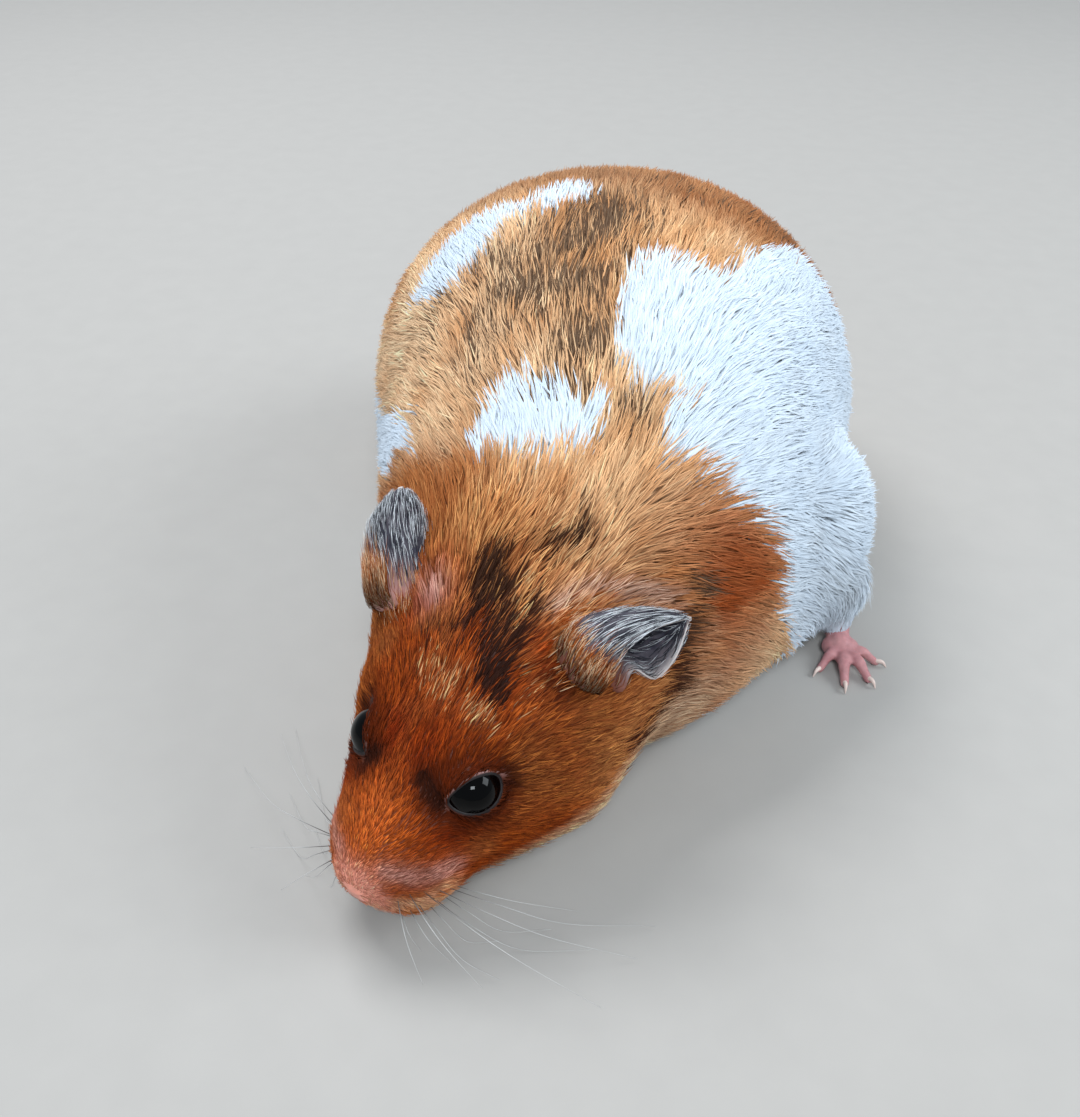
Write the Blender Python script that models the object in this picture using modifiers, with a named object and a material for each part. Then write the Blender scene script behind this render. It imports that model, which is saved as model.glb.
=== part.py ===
"""A Syrian hamster at life size, crouched with its head low and turned to its right.

The animal faces -Y, its left side is +X and the floor is z = 0. Sizes below are in millimetres and
are turned into metres where meshes are made. The forms give the outline out to the tips of the coat.
"""
import math

import bmesh
import bpy
import numpy as np
from mathutils import Matrix, Vector

MM = 0.001
GAP = 0.3                      # clear space between neighbouring nodes

# ---- driving dimensions (mm) --------------------------------------------------------------------
HEAD_ORIGIN = (-9.3, -56.2, 17.5)   # midway between the two eyes
HEAD_YAW = 24.0                # degrees, towards the animal's right
HEAD_PITCH = 11.0              # degrees, nose down
EYE_RADIUS = 3.4
EYE_CENTRE = (6.9, 0.3, 0.3)   # of the left eye, in the head's own axes
EAR_LENGTH = 15.0
EAR_RADIUS = 5.1
EAR_THICKNESS = 0.8
EAR_WRAP = 105.0               # degrees from the back of the cup to its edge, at the root
SOLE_Z = 0.0
BODY_VOXEL = 1.3
FOOT_VOXEL = 0.36
BODY_TRIANGLES = 3300
FOOT_TRIANGLES = 290
RING_SIDES = 40
TOP_POWER = 2.1
SPAN_STEPS = 4

# Trunk and neck sections: y, centre x, widest z, half width, height above and depth below the widest
# z, and how square the underside is (2 is a half ellipse).
TRUNK_SECTIONS = (
    (69.5, 0.5, 18.0, 5.0, 7.0, 7.0, 2.4),
    (67.5, 0.5, 18.0, 14.0, 14.5, 12.5, 2.4),
    (61.0, 1.2, 18.5, 24.4, 22.5, 15.8, 2.6),
    (51.0, 1.4, 19.5, 32.4, 29.5, 17.5, 2.8),
    (38.0, 1.4, 20.5, 37.6, 33.8, 18.6, 2.8),
    (24.0, 1.5, 20.5, 39.2, 36.0, 18.6, 2.8),
    (10.0, 2.5, 20.5, 36.6, 36.0, 18.6, 2.8),
    (-4.0, 3.5, 20.0, 33.0, 34.0, 18.6, 3.0),
    (-16.0, 4.2, 18.5, 30.5, 31.0, 17.4, 3.6),
    (-28.0, 3.2, 17.0, 25.4, 26.0, 15.6, 3.4),
    (-38.0, -1.0, 16.5, 20.0, 19.5, 14.6, 3.0),
    (-46.0, -3.0, 17.0, 10.0, 10.0, 9.0, 2.6),
)

# Head sections in the head's own axes, in the same columns.
HEAD_SECTIONS = (
    (-14.9, 0.0, -6.3, 1.7, 1.7, 1.5, 2.2),
    (-14.0, 0.0, -6.5, 3.4, 3.4, 3.4, 2.2),
    (-11.5, 0.0, -6.9, 5.4, 5.4, 5.2, 2.3),
    (-8.5, 0.0, -7.2, 7.4, 8.0, 6.2, 2.4),
    (-4.5, 0.0, -7.4, 9.2, 11.0, 6.8, 2.5),
    (0.0, 0.0, -7.4, 12.2, 13.8, 7.8, 2.8),
    (5.0, 0.0, -7.0, 15.2, 15.8, 8.8, 2.9),
    (10.0, 0.0, -6.5, 17.0, 16.7, 9.8, 2.8),
    (16.0, 0.0, -6.0, 17.6, 16.8, 11.0, 2.6),
    (22.0, 0.0, -5.5, 17.8, 16.8, 11.8, 2.6),
    (30.0, 0.0, -4.5, 16.5, 16.0, 12.0, 2.6),
    (36.0, 0.0, -4.0, 11.0, 11.0, 10.0, 2.6),
)

# Muscle and fur masses: centre, radii.
BODY_MASSES = (
    ((33.0, -3.5, 18.5), (10.8, 12.5, 15.5)),      # left shoulder and upper arm
    ((-15.5, -8.0, 17.0), (9.0, 12.0, 13.5)),      # right shoulder and upper arm
    ((26.5, -12.5, 7.4), (10.0, 9.5, 6.9)),        # chest fur ahead of the left foreleg
    ((28.0, 34.0, 17.0), (12.0, 20.0, 14.5)),      # left thigh
    ((-26.0, 34.0, 17.0), (12.0, 20.0, 14.5)),     # right thigh
)
# The same in the head's own axes, made on both sides.
HEAD_MASSES = (
    ((2.6, -8.6, -9.2), (4.9, 5.0, 4.6)),          # whisker pads and chin
    ((10.4, 13.0, -9.6), (7.2, 10.5, 6.8)),        # cheeks
)

# Limbs as tapered tubes: points, radii.
FORELEGS = {
    "left": (((32.0, -3.0, 20.0), (37.5, -4.0, 11.5), (40.0, -5.5, 5.0), (40.6, -7.5, 2.9)),
             (9.0, 6.8, 4.0, 2.5)),
    "right": (((-16.0, -8.0, 15.0), (-15.0, -11.0, 9.0), (-14.4, -14.0, 4.6), (-14.2, -16.0, 2.8)),
              (8.0, 6.0, 3.6, 2.4)),
}
HINDLEGS = {
    "left": (((27.0, 42.0, 14.0), (27.0, 40.0, 8.0), (26.0, 36.0, 4.0)), (10.0, 6.5, 3.4)),
    "right": (((-25.0, 42.0, 14.0), (-25.0, 40.0, 8.0), (-24.0, 36.0, 4.0)), (10.0, 6.5, 3.4)),
}
TAIL = (((0.5, 60.0, 9.0), (0.8, 65.0, 7.6), (1.5, 70.0, 6.2), (2.4, 74.5, 5.2)), (3.4, 2.6, 1.9, 1.1))

# Ears: root, tip, the way the cup opens, how much it uncurls towards the tip, where its tip lies.
EARS = {
    "left_ear": {"root": (6.0, -46.6, 26.8), "tip": (18.0, -42.4, 32.2), "opening": (0.1, -1.0, 0.5),
                 "flare": 34.0, "tip_at": -0.5},
    "right_ear": {"root": (-11.6, -38.2, 25.2), "tip": (-15.8, -33.8, 38.2),
                  "opening": (-0.8, 0.45, 0.05), "flare": 30.0, "tip_at": 0.0},
}

# Feet: heel point, heading in degrees (0 points forward, positive turns to the animal's left).
FOREFEET = {"left": ((40.6, -6.6), 12.0), "right": ((-14.2, -16.0), -14.0)}
HINDFEET = {"left": ((26.0, 36.0), 10.0), "right": ((-24.0, 36.0), -10.0)}
# Digits: spread angle, root distance ahead of the palm centre, length, root radius, tip radius.
FORE_DIGITS = ((-46.0, 1.2, 4.0, 0.85, 0.6), (-8.0, 1.8, 4.9, 0.95, 0.65),
               (24.0, 1.8, 4.7, 0.95, 0.65), (62.0, 1.2, 4.0, 0.85, 0.6))
HIND_DIGITS = ((-38.0, 0.6, 4.4, 0.8, 0.6), (-15.0, 1.8, 5.8, 0.95, 0.65), (0.0, 2.2, 6.2, 0.95, 0.65),
               (15.0, 1.8, 5.8, 0.95, 0.65), (40.0, 0.2, 4.2, 0.8, 0.6))

# Parting surfaces: planes through a point with a normal, and egg-shaped regions around the limbs.
HEAD_PLANE = ((0.0, -34.5, 18.0), (0.24, 0.96, 0.06))
NECK_PLANE = ((3.5, -25.0, 22.0), (0.05, 0.97, -0.14))
LEG_REGIONS = {
    "left_foreleg": ((39.0, -4.0, 8.0), (14.0, 13.0, 18.0)),
    "right_foreleg": ((-20.0, -12.5, 4.0), (11.5, 11.0, 15.0)),
    "left_hindleg": ((35.0, 33.0, 6.0), (18.0, 20.0, 19.0)),
    "right_hindleg": ((-33.0, 33.0, 6.0), (18.0, 20.0, 19.0)),
}

COLOURS = {
    "coat_orange": ((0.55, 0.22, 0.06, 1.0), 0.85),
    "coat_white": ((0.85, 0.85, 0.87, 1.0), 0.85),
    "ear_skin": ((0.24, 0.24, 0.30, 1.0), 0.6),
    "foot_skin": ((0.85, 0.50, 0.46, 1.0), 0.55),
    "eye_black": ((0.01, 0.009, 0.009, 1.0), 0.06),
}


def clear_scene():
    for old in list(bpy.data.objects):
        bpy.data.objects.remove(old, do_unlink=True)


def new_collection(name):
    collection = bpy.data.collections.new(name)
    bpy.context.scene.collection.children.link(collection)
    return collection


def material(name):
    """The named finish, made on first use."""
    found = bpy.data.materials.get(name)
    if found:
        return found
    colour, roughness = COLOURS[name]
    made = bpy.data.materials.new(name)
    made.use_nodes = True
    shader = made.node_tree.nodes["Principled BSDF"]
    shader.inputs["Base Color"].default_value = colour
    shader.inputs["Roughness"].default_value = roughness
    shader.inputs["Metallic"].default_value = 0.0
    return made


def object_from(bm, name, collection):
    """A mesh object made from a bmesh in metres."""
    mesh = bpy.data.meshes.new(name)
    bm.normal_update()
    bm.to_mesh(mesh)
    bm.free()
    made = bpy.data.objects.new(name, mesh)
    collection.objects.link(made)
    return made


# ---- form makers --------------------------------------------------------------------------------
def smooth_stations(stations, steps):
    """Catmull-Rom stations: `steps` to each span between the ones given, ends included."""
    rows = np.array(stations, dtype=float)
    padded = np.vstack([2 * rows[0] - rows[1], rows, 2 * rows[-1] - rows[-2]])
    found = []
    for index in range(len(rows) - 1):
        p0, p1, p2, p3 = padded[index:index + 4]
        for step in range(steps):
            t = step / steps
            found.append(0.5 * (2 * p1 + (p2 - p0) * t + (2 * p0 - 5 * p1 + 4 * p2 - p3) * t ** 2
                                + (3 * p1 - p0 - 3 * p2 + p3) * t ** 3))
    found.append(rows[-1])
    return found


def skin_rings(bm, rings):
    """Close a tube over rings of equal point counts, capped at both ends."""
    loops = [[bm.verts.new(point) for point in ring] for ring in rings]
    sides = len(loops[0])
    for one, two in zip(loops, loops[1:]):
        for k in range(sides):
            bm.faces.new((one[k], one[(k + 1) % sides], two[(k + 1) % sides], two[k]))
    bm.faces.new(loops[0][::-1])
    bm.faces.new(loops[-1])
    bmesh.ops.recalc_face_normals(bm, faces=bm.faces)


def loft(stations, frame):
    """Rings across the local y axis, rounder above than below, as a closed bmesh in metres."""
    rings = []
    for y, cx, cz, half, up, down, low_power in smooth_stations(stations, SPAN_STEPS):
        ring = []
        for k in range(RING_SIDES):
            angle = 2 * math.pi * k / RING_SIDES
            c, s = math.cos(angle), math.sin(angle)
            power = TOP_POWER if s > 0 else low_power
            x = cx + half * math.copysign(abs(c) ** (2 / power), c)
            z = cz + (up if s > 0 else down) * math.copysign(abs(s) ** (2 / power), s)
            ring.append(frame @ Vector((x * MM, y * MM, z * MM)))
        rings.append(ring)
    bm = bmesh.new()
    skin_rings(bm, rings)
    return bm


def tube(points, radii, sides=16):
    """A tapered tube with round ends along a smooth path (mm), as a closed bmesh in metres."""
    path = smooth_stations([tuple(p) + (r,) for p, r in zip(points, radii)], SPAN_STEPS)
    centres = [Vector(row[:3]) for row in path]
    widths = [row[3] for row in path]
    first = (centres[1] - centres[0]).normalized()
    last = (centres[-1] - centres[-2]).normalized()
    dome = [math.radians(a) for a in (80, 50, 25)]
    sections = [(centres[0] - first * widths[0] * math.sin(a), widths[0] * math.cos(a), first)
                for a in dome]
    for k, centre in enumerate(centres):
        before, after = centres[max(k - 1, 0)], centres[min(k + 1, len(centres) - 1)]
        sections.append((centre, widths[k], (after - before).normalized()))
    sections += [(centres[-1] + last * widths[-1] * math.sin(a), widths[-1] * math.cos(a), last)
                 for a in dome[::-1]]
    side = first.orthogonal().normalized()
    rings = []
    for centre, radius, heading in sections:
        side = (side - heading * side.dot(heading)).normalized()
        up = heading.cross(side)
        angles = [2 * math.pi * k / sides for k in range(sides)]
        rings.append([(centre + (side * math.cos(a) + up * math.sin(a)) * radius) * MM for a in angles])
    bm = bmesh.new()
    skin_rings(bm, rings)
    return bm


def egg(centre, radii, segments=24, rings=16):
    """An ellipsoid in mm, as a closed bmesh in metres."""
    bm = bmesh.new()
    place = Matrix.Translation(Vector(centre) * MM) @ Matrix.Diagonal(Vector(radii) * MM).to_4x4()
    bmesh.ops.create_uvsphere(bm, u_segments=segments, v_segments=rings, radius=1.0, matrix=place)
    return bm


def merged(forms, name, collection):
    """One object holding several overlapping closed forms."""
    bm = bmesh.new()
    for form in forms:
        mesh = bpy.data.meshes.new("form")
        form.to_mesh(mesh)
        form.free()
        bm.from_mesh(mesh)
        bpy.data.meshes.remove(mesh)
    return object_from(bm, name, collection)


# ---- modifiers ----------------------------------------------------------------------------------
def apply_modifiers(target):
    """Bake the object's modifiers into its mesh."""
    bpy.context.view_layer.update()
    seen = target.evaluated_get(bpy.context.evaluated_depsgraph_get())
    baked = bpy.data.meshes.new_from_object(seen)
    target.modifiers.clear()
    target.data = baked


def triangle_count(target):
    return sum(len(face.vertices) - 2 for face in target.data.polygons)


def fuse(target, voxel, smoothing, triangles):
    """Join overlapping forms into one soft surface of about the wanted number of triangles."""
    remesh = target.modifiers.new("Fuse", "REMESH")
    remesh.mode = "VOXEL"
    remesh.voxel_size = voxel * MM
    soften = target.modifiers.new("Soften", "SMOOTH")
    soften.factor = 0.5
    soften.iterations = smoothing
    apply_modifiers(target)
    thin = target.modifiers.new("Thin", "DECIMATE")
    thin.ratio = min(1.0, triangles / triangle_count(target))
    thin.use_collapse_triangulate = True
    apply_modifiers(target)


def boolean(target, operation, cutter):
    cut = target.modifiers.new(operation, "BOOLEAN")
    cut.operation = operation
    cut.solver = "EXACT"
    cut.object = cutter
    apply_modifiers(target)


def copy_of(source, name, collection):
    made = bpy.data.objects.new(name, source.data.copy())
    collection.objects.link(made)
    return made


def swollen(source, name, collection, amount):
    """A copy of a surface moved outward along its normals."""
    made = copy_of(source, name, collection)
    swell = made.modifiers.new("Swell", "DISPLACE")
    swell.strength = amount * MM
    swell.mid_level = 0.0
    apply_modifiers(made)
    return made


def keep_largest(target):
    """Drop the crumbs that a cut leaves beside the main body."""
    bm = bmesh.new()
    bm.from_mesh(target.data)
    left = set(bm.verts)
    groups = []
    while left:
        stack = [left.pop()]
        group = set(stack)
        while stack:
            for edge in stack.pop().link_edges:
                for vert in edge.verts:
                    if vert in left:
                        left.discard(vert)
                        group.add(vert)
                        stack.append(vert)
        groups.append(group)
    groups.sort(key=len)
    crumbs = [vert for group in groups[:-1] for vert in group]
    bmesh.ops.delete(bm, geom=crumbs, context="VERTS")
    bmesh.ops.remove_doubles(bm, verts=bm.verts, dist=0.00002)
    bmesh.ops.dissolve_degenerate(bm, dist=0.00002, edges=bm.edges)
    bmesh.ops.triangulate(bm, faces=bm.faces)
    bm.to_mesh(target.data)
    bm.free()


# ---- the animal ---------------------------------------------------------------------------------
def head_frame():
    turn = Matrix.Rotation(math.radians(-HEAD_YAW), 4, "Z") @ Matrix.Rotation(math.radians(HEAD_PITCH), 4, "X")
    return Matrix.Translation(Vector(HEAD_ORIGIN) * MM) @ turn


def make_body(cutters):
    """Head, neck, trunk and limbs down to the wrists and heels, as one surface."""
    forms = [loft(TRUNK_SECTIONS, Matrix.Identity(4)), loft(HEAD_SECTIONS, head_frame())]
    forms += [egg(centre, radii) for centre, radii in BODY_MASSES]
    for (x, y, z), radii in HEAD_MASSES:
        for side in (1, -1):
            mass = egg((x * side, y, z), radii)
            mass.transform(head_frame())
            forms.append(mass)
    forms += [tube(points, radii) for points, radii in FORELEGS.values()]
    forms += [tube(points, radii) for points, radii in HINDLEGS.values()]
    body = merged(forms, "body_form", cutters)
    fuse(body, BODY_VOXEL, 8, BODY_TRIANGLES)
    return body


def half_space(name, point, normal, cutters):
    """A large block on the side of a plane that its normal points to."""
    size = 400.0
    bm = bmesh.new()
    bmesh.ops.create_cube(bm, size=size * MM)
    block = object_from(bm, name, cutters)
    heading = Vector(normal).normalized()
    turn = heading.to_track_quat("Z", "Y").to_matrix().to_4x4()
    block.matrix_world = Matrix.Translation((Vector(point) + heading * size / 2) * MM) @ turn
    return block


def plane_side(name, plane, side, cutters):
    """The half space in front of (+1) or behind (-1) a parting plane, half the gap away from it."""
    point, normal = plane
    heading = Vector(normal).normalized() * side
    return half_space(name, Vector(point) + heading * GAP / 2, heading, cutters)


def region(name, grow, cutters):
    centre, radii = LEG_REGIONS[name]
    bm = egg(centre, [r + grow for r in radii], 18, 10)
    return object_from(bm, name + "_region", cutters)


def part_body(body, model, cutters):
    """Cut the one surface into head, neck, trunk and the four legs."""
    pieces = {}
    rest = copy_of(body, "rest", cutters)
    for name in LEG_REGIONS:
        leg = copy_of(body, name, model)
        boolean(leg, "INTERSECT", region(name, 0.0, cutters))
        keep_largest(leg)
        pieces[name] = leg
        boolean(rest, "DIFFERENCE", region(name, GAP, cutters))
    sides = {"head": ((HEAD_PLANE, -1),), "neck": ((HEAD_PLANE, 1), (NECK_PLANE, -1)),
             "trunk": ((NECK_PLANE, 1),)}
    for name, planes in sides.items():
        piece = copy_of(rest, name, model)
        for index, (plane, side) in enumerate(planes):
            boolean(piece, "INTERSECT", plane_side(f"{name}_side_{index}", plane, side, cutters))
        keep_largest(piece)
        pieces[name] = piece
    return pieces


def make_eye(name, side, head, model, cutters):
    """A ball in a socket that is wider than it by the gap."""
    x, y, z = EYE_CENTRE
    centre = (head_frame() @ (Vector((x * side, y, z)) * MM)) / MM
    socket = object_from(egg(centre, [EYE_RADIUS + GAP] * 3, 16, 10), name + "_socket", cutters)
    boolean(head, "DIFFERENCE", socket)
    eye = object_from(egg(centre, [EYE_RADIUS] * 3, 16, 10), name, model)
    bm = bmesh.new()
    bm.from_mesh(eye.data)
    bmesh.ops.triangulate(bm, faces=bm.faces)
    bm.to_mesh(eye.data)
    bm.free()
    return eye


def ear_point(across, along, ear):
    """A point of the cupped ear: `across` runs -1 to 1 round the cup, `along` 0 to 1 to the tip."""
    root, axis, opening = ear["frame"]
    width = EAR_RADIUS * (0.66 + 0.34 * math.sin(math.pi * min(along * 1.1, 1.0)))
    width *= math.sqrt(max(0.0, 1.0 - along ** 5))
    wrap = math.radians(EAR_WRAP - ear["flare"] * along) * across
    reach = EAR_LENGTH * along * (1.0 - 0.13 * (across - ear["tip_at"]) ** 2)
    side = axis.cross(opening)
    lean = opening * (EAR_RADIUS * 0.35 - width * math.cos(wrap) * 0.8)
    return (root + axis * reach + lean + side * width * math.sin(wrap)) * MM


def make_ear(name, model):
    """A thin cup on the head: its axis runs from root to tip and the cup opens towards `opening`."""
    ear = dict(EARS[name])
    root, tip, opening = (Vector(ear[key]) for key in ("root", "tip", "opening"))
    axis = (tip - root).normalized()
    ear["frame"] = (root, axis, (opening - axis * opening.dot(axis)).normalized())
    columns, rows = 8, 7
    bm = bmesh.new()
    grid = []
    for j in range(rows):
        along = 0.985 * math.sin(0.5 * math.pi * j / (rows - 1))
        grid.append([bm.verts.new(ear_point(-1 + 2 * i / columns, along, ear))
                     for i in range(columns + 1)])
    for low, high in zip(grid, grid[1:]):
        for i in range(columns):
            bm.faces.new((low[i], low[i + 1], high[i + 1], high[i]))
    made = object_from(bm, name, model)
    shell = made.modifiers.new("Shell", "SOLIDIFY")
    shell.thickness = EAR_THICKNESS * MM
    shell.offset = 0.0
    shell.use_even_offset = True
    apply_modifiers(made)
    return made


def make_foot(name, heel, heading, digits, palm, model):
    """A palm and its clawed digits as one soft body, flat on the floor."""
    turn = Matrix.Rotation(math.radians(heading), 3, "Z")
    base = Vector((heel[0], heel[1], 0.0))
    length, width, height = palm
    ahead = turn @ Vector((0.0, -1.0, 0.0))
    ankle = base + Vector((0.0, 0.0, 2.3))
    front = base + ahead * length + Vector((0.0, 0.0, 1.4))
    forms = [tube((ankle, (ankle + front) / 2, front), (height, width * 0.55, width * 0.6), 14),
             egg(front, (width, width * 0.85, 1.5))]
    for spread, root, reach, thick, thin in digits:
        way = Matrix.Rotation(math.radians(spread), 3, "Z") @ ahead
        start = front + way * root
        start.z = thick + 0.5
        knuckle = start + way * reach * 0.5 + Vector((0.0, 0.0, 0.35))
        pad = start + way * reach
        pad.z = thin - 0.05
        claw = pad + way * 0.9 + Vector((0.0, 0.0, 0.35))
        end = pad + way * 1.6
        end.z = 0.35
        forms.append(tube((start, knuckle, pad), (thick * 1.1, thick, thin), 10))
        forms.append(tube((pad, claw, end), (0.42, 0.36, 0.26), 8))
    foot = merged(forms, name, model)
    fuse(foot, FOOT_VOXEL, 3, FOOT_TRIANGLES)
    return foot


def rest_on_floor(target, floor):
    """Trim whatever is below the soles' level, which leaves small flats there."""
    boolean(target, "DIFFERENCE", floor)
    keep_largest(target)


def finish(target, material_name):
    target.data.materials.clear()
    target.data.materials.append(material(material_name))
    target.data.shade_smooth()
    target.data.set_sharp_from_angle(angle=math.radians(40))


def centre_on_origin(nodes):
    """Move the whole animal so that its box stands on the origin."""
    points = np.array([vert.co[:] for node in nodes for vert in node.data.vertices])
    low, high = points.min(axis=0), points.max(axis=0)
    shift = Matrix.Translation((-(low[0] + high[0]) / 2, -(low[1] + high[1]) / 2, -low[2]))
    for node in nodes:
        node.data.transform(shift)


def build():
    clear_scene()
    model = new_collection("syrian_hamster")
    cutters = new_collection("cutters")

    body = make_body(cutters)
    shell = swollen(body, "body_clearance", cutters, GAP)
    floor = half_space("floor_block", (0.0, 0.0, SOLE_Z), (0.0, 0.0, -1.0), cutters)
    pieces = part_body(body, model, cutters)

    for name, side in (("left_eye", 1), ("right_eye", -1)):
        pieces[name] = make_eye(name, side, pieces["head"], model, cutters)
    keep_largest(pieces["head"])

    for name in EARS:
        pieces[name] = make_ear(name, model)

    for side in ("left", "right"):
        heel, heading = FOREFEET[side]
        pieces[side + "_forefoot"] = make_foot(side + "_forefoot", heel, heading, FORE_DIGITS,
                                               (3.2, 2.9, 2.1), model)
        heel, heading = HINDFEET[side]
        pieces[side + "_hindfoot"] = make_foot(side + "_hindfoot", heel, heading, HIND_DIGITS,
                                               (11.5, 3.0, 2.6), model)
    pieces["tail"] = object_from(tube(*TAIL, 8), "tail", model)

    for name in ("left_ear", "right_ear", "left_forefoot", "right_forefoot", "left_hindfoot",
                 "right_hindfoot", "tail"):
        boolean(pieces[name], "DIFFERENCE", shell)
    for name, piece in pieces.items():
        if "foot" in name:
            rest_on_floor(piece, floor)
        keep_largest(piece)

    finishes = {"eye": "eye_black", "ear": "ear_skin", "foot": "foot_skin", "tail": "foot_skin",
                "left_foreleg": "coat_white"}
    for name, piece in pieces.items():
        slot = next((slot for key, slot in finishes.items() if name.endswith(key)), "coat_orange")
        finish(piece, slot)

    for cutter in cutters.objects:
        cutter.hide_render = True
        cutter.display_type = "WIRE"
    centre_on_origin(list(pieces.values()))


build()
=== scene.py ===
"""A still Syrian hamster: one skin, a coat of mesh tufts, eyes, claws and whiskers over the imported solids.

Lengths in this script are millimetres until a mesh is made; the studio's are metres. Head values are in head
axes: x to the animal's left, y backwards and z up, from a point between the eyes.
"""

import itertools
import math

import bmesh
import bpy
import numpy as np
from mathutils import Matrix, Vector
from mathutils.bvhtree import BVHTree
from mathutils.kdtree import KDTree


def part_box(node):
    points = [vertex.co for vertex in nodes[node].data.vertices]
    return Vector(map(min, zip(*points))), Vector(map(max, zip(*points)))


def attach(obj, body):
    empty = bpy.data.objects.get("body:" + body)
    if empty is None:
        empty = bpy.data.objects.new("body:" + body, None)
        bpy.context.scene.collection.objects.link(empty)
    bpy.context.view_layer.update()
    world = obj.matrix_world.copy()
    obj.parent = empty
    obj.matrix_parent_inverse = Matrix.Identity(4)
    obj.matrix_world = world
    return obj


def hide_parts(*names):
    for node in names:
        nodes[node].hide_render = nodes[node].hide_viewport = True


MM = 0.001
FLESH = ["head", "neck", "trunk", "tail", "left_foreleg", "right_foreleg", "left_hindleg", "right_hindleg"]
FEET = ["left_forefoot", "right_forefoot", "left_hindfoot", "right_hindfoot"]
EARS = ["left_ear", "right_ear"]

# Head and eyes
HEAD_PITCH = 11.0
EYE_IN_HEAD = (0.3, 0.3)
EYE_RADIUS = 3.4
FAR_EYE_INWARDS = (0.70, 0.15, 0.0)
EYE_AXIS = (0.74, -0.36, 0.57)
EYE_FORWARD = (-0.44, -0.90, 0.12)
EYE_FRONT = math.radians(66)
EYE_BACK = math.radians(60)
EYE_HIGH = math.radians(39)
FAR_EYE_HIGH = math.radians(47)
UPPER_LID = 0.86
LID_PINCH = 0.42

# Skin
INFLATE = 0.6
BODY_VOXEL = 0.85
FOOT_VOXEL = 0.29

# Body chart: degrees round this axis from the top, positive to the animal's left, against length along y
CHART_X = -3.5
CHART_Z = 20.0
ARC = 0.5

# Colours, linear
ORANGE = (0.60, 0.25, 0.085)
GOLD = (0.86, 0.53, 0.29)
BACK_ORANGE = (0.60, 0.275, 0.110)
NAPE = (0.76, 0.42, 0.21)
RUST = (0.31, 0.050, 0.005)
DEEP_RUST = (0.23, 0.020, 0.001)
DARK_RUST = (0.10, 0.012, 0.001)
PINK_RUST = (0.80, 0.17, 0.030)
CREAM = (0.84, 0.56, 0.34)
PALE_TIP = (0.56, 0.33, 0.155)
TAWNY = (0.34, 0.165, 0.080)
RUMP_RED = (0.34, 0.125, 0.045)
PALE_PINK = (0.60, 0.31, 0.26)
JAW = (0.62, 0.38, 0.23)
CHEEK = (0.31, 0.090, 0.022)
ASH_PINK = (0.50, 0.32, 0.25)
ASH_BROWN = (0.38, 0.21, 0.13)
WHITE = (0.67, 0.745, 0.83)
WHITE_SHADE = (0.62, 0.715, 0.83)
WHITE_ROOT = (0.68, 0.75, 0.83)
DARK = (0.016, 0.008, 0.006)
TICK = (0.10, 0.060, 0.038)
UNDERCOAT = (0.20, 0.085, 0.035)
HEAD_ROOT = (0.15, 0.012, 0.001)
SKIN_PINK = (0.62, 0.30, 0.25)
NOSE_PINK = (0.92, 0.36, 0.26)
FOOT_PINK = (0.38, 0.155, 0.165)
FOOT_PALE = (0.54, 0.27, 0.27)
CLAW = (0.72, 0.56, 0.50)
EYE_BLACK = (0.0006, 0.0005, 0.0006)
EAR_GREY = (0.020, 0.020, 0.036)
EAR_SPECK = (0.14, 0.12, 0.14)
EAR_FLESH = (0.26, 0.085, 0.05)
EAR_RIM = (0.72, 0.64, 0.62)
EAR_SILVER = (0.90, 0.93, 0.97)
WHISKER_PALE = (0.50, 0.49, 0.48)
WHISKER_DARK = (0.05, 0.035, 0.03)
FLOOR_GREY = (0.37, 0.35, 0.33)
RIM_GREY = (0.012, 0.007, 0.007)
LID_PINK = (0.42, 0.22, 0.20)
# Near black: painted shade in the hollow before each eye, in front of the near ear's base and in the hair at
# the ears' bases; also the dark hair at the lids
PAINTED_SHADE_AND_LID_BLACK = (0.012, 0.004, 0.003)
LIP_PALE = (0.80, 0.42, 0.24)
LIP_ORANGE = (0.62, 0.20, 0.065)


# ---------------------------------------------------------------- numbers

def smooth_step(low, high, value):
    """0 at low, 1 at high, eased between; low may be the greater."""
    t = np.clip((value - low) / (high - low), 0.0, 1.0)
    return t * t * (3.0 - 2.0 * t)


def unit(v):
    return v / np.maximum(np.linalg.norm(v, axis=-1, keepdims=True), 1e-9)


def swung(way, normals, angle):
    """Directions turned by an angle about the normals."""
    across = np.cross(normals, way)
    return way * np.cos(angle)[:, None] + across * np.sin(angle)[:, None]


def mix(a, b, t):
    """Between a and b, by t from 0 to 1."""
    t = np.asarray(np.clip(t, 0.0, 1.0))[..., None]
    return np.asarray(a) * (1.0 - t) + np.asarray(b) * t


def layered(colour, layers):
    """The colour with each (other colour, share) mixed over it in turn."""
    for other, share in layers:
        colour = mix(colour, other, share)
    return colour


def noise(points, size, seed):
    """Smooth noise between -1 and 1, with features about `size` mm across."""
    q = points / size + seed * 7.31
    cell = np.floor(q).astype(np.int64)
    t = q - cell
    t = t * t * (3.0 - 2.0 * t)
    total = np.zeros(len(points))
    for corner in itertools.product((0, 1), repeat=3):
        c = cell + np.array(corner)
        h = (c[:, 0] * 73856093) ^ (c[:, 1] * 19349663) ^ (c[:, 2] * 83492791) ^ (seed * 668265263)
        h = ((h ^ (h >> 13)) * 1274126177) & 0x7FFFFFFF
        h = h ^ (h >> 15)
        value = (h & 0xFFFF) / 32767.5 - 1.0
        total += value * np.prod(np.where(np.array(corner) == 1, t, 1.0 - t), axis=1)
    return total


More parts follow.
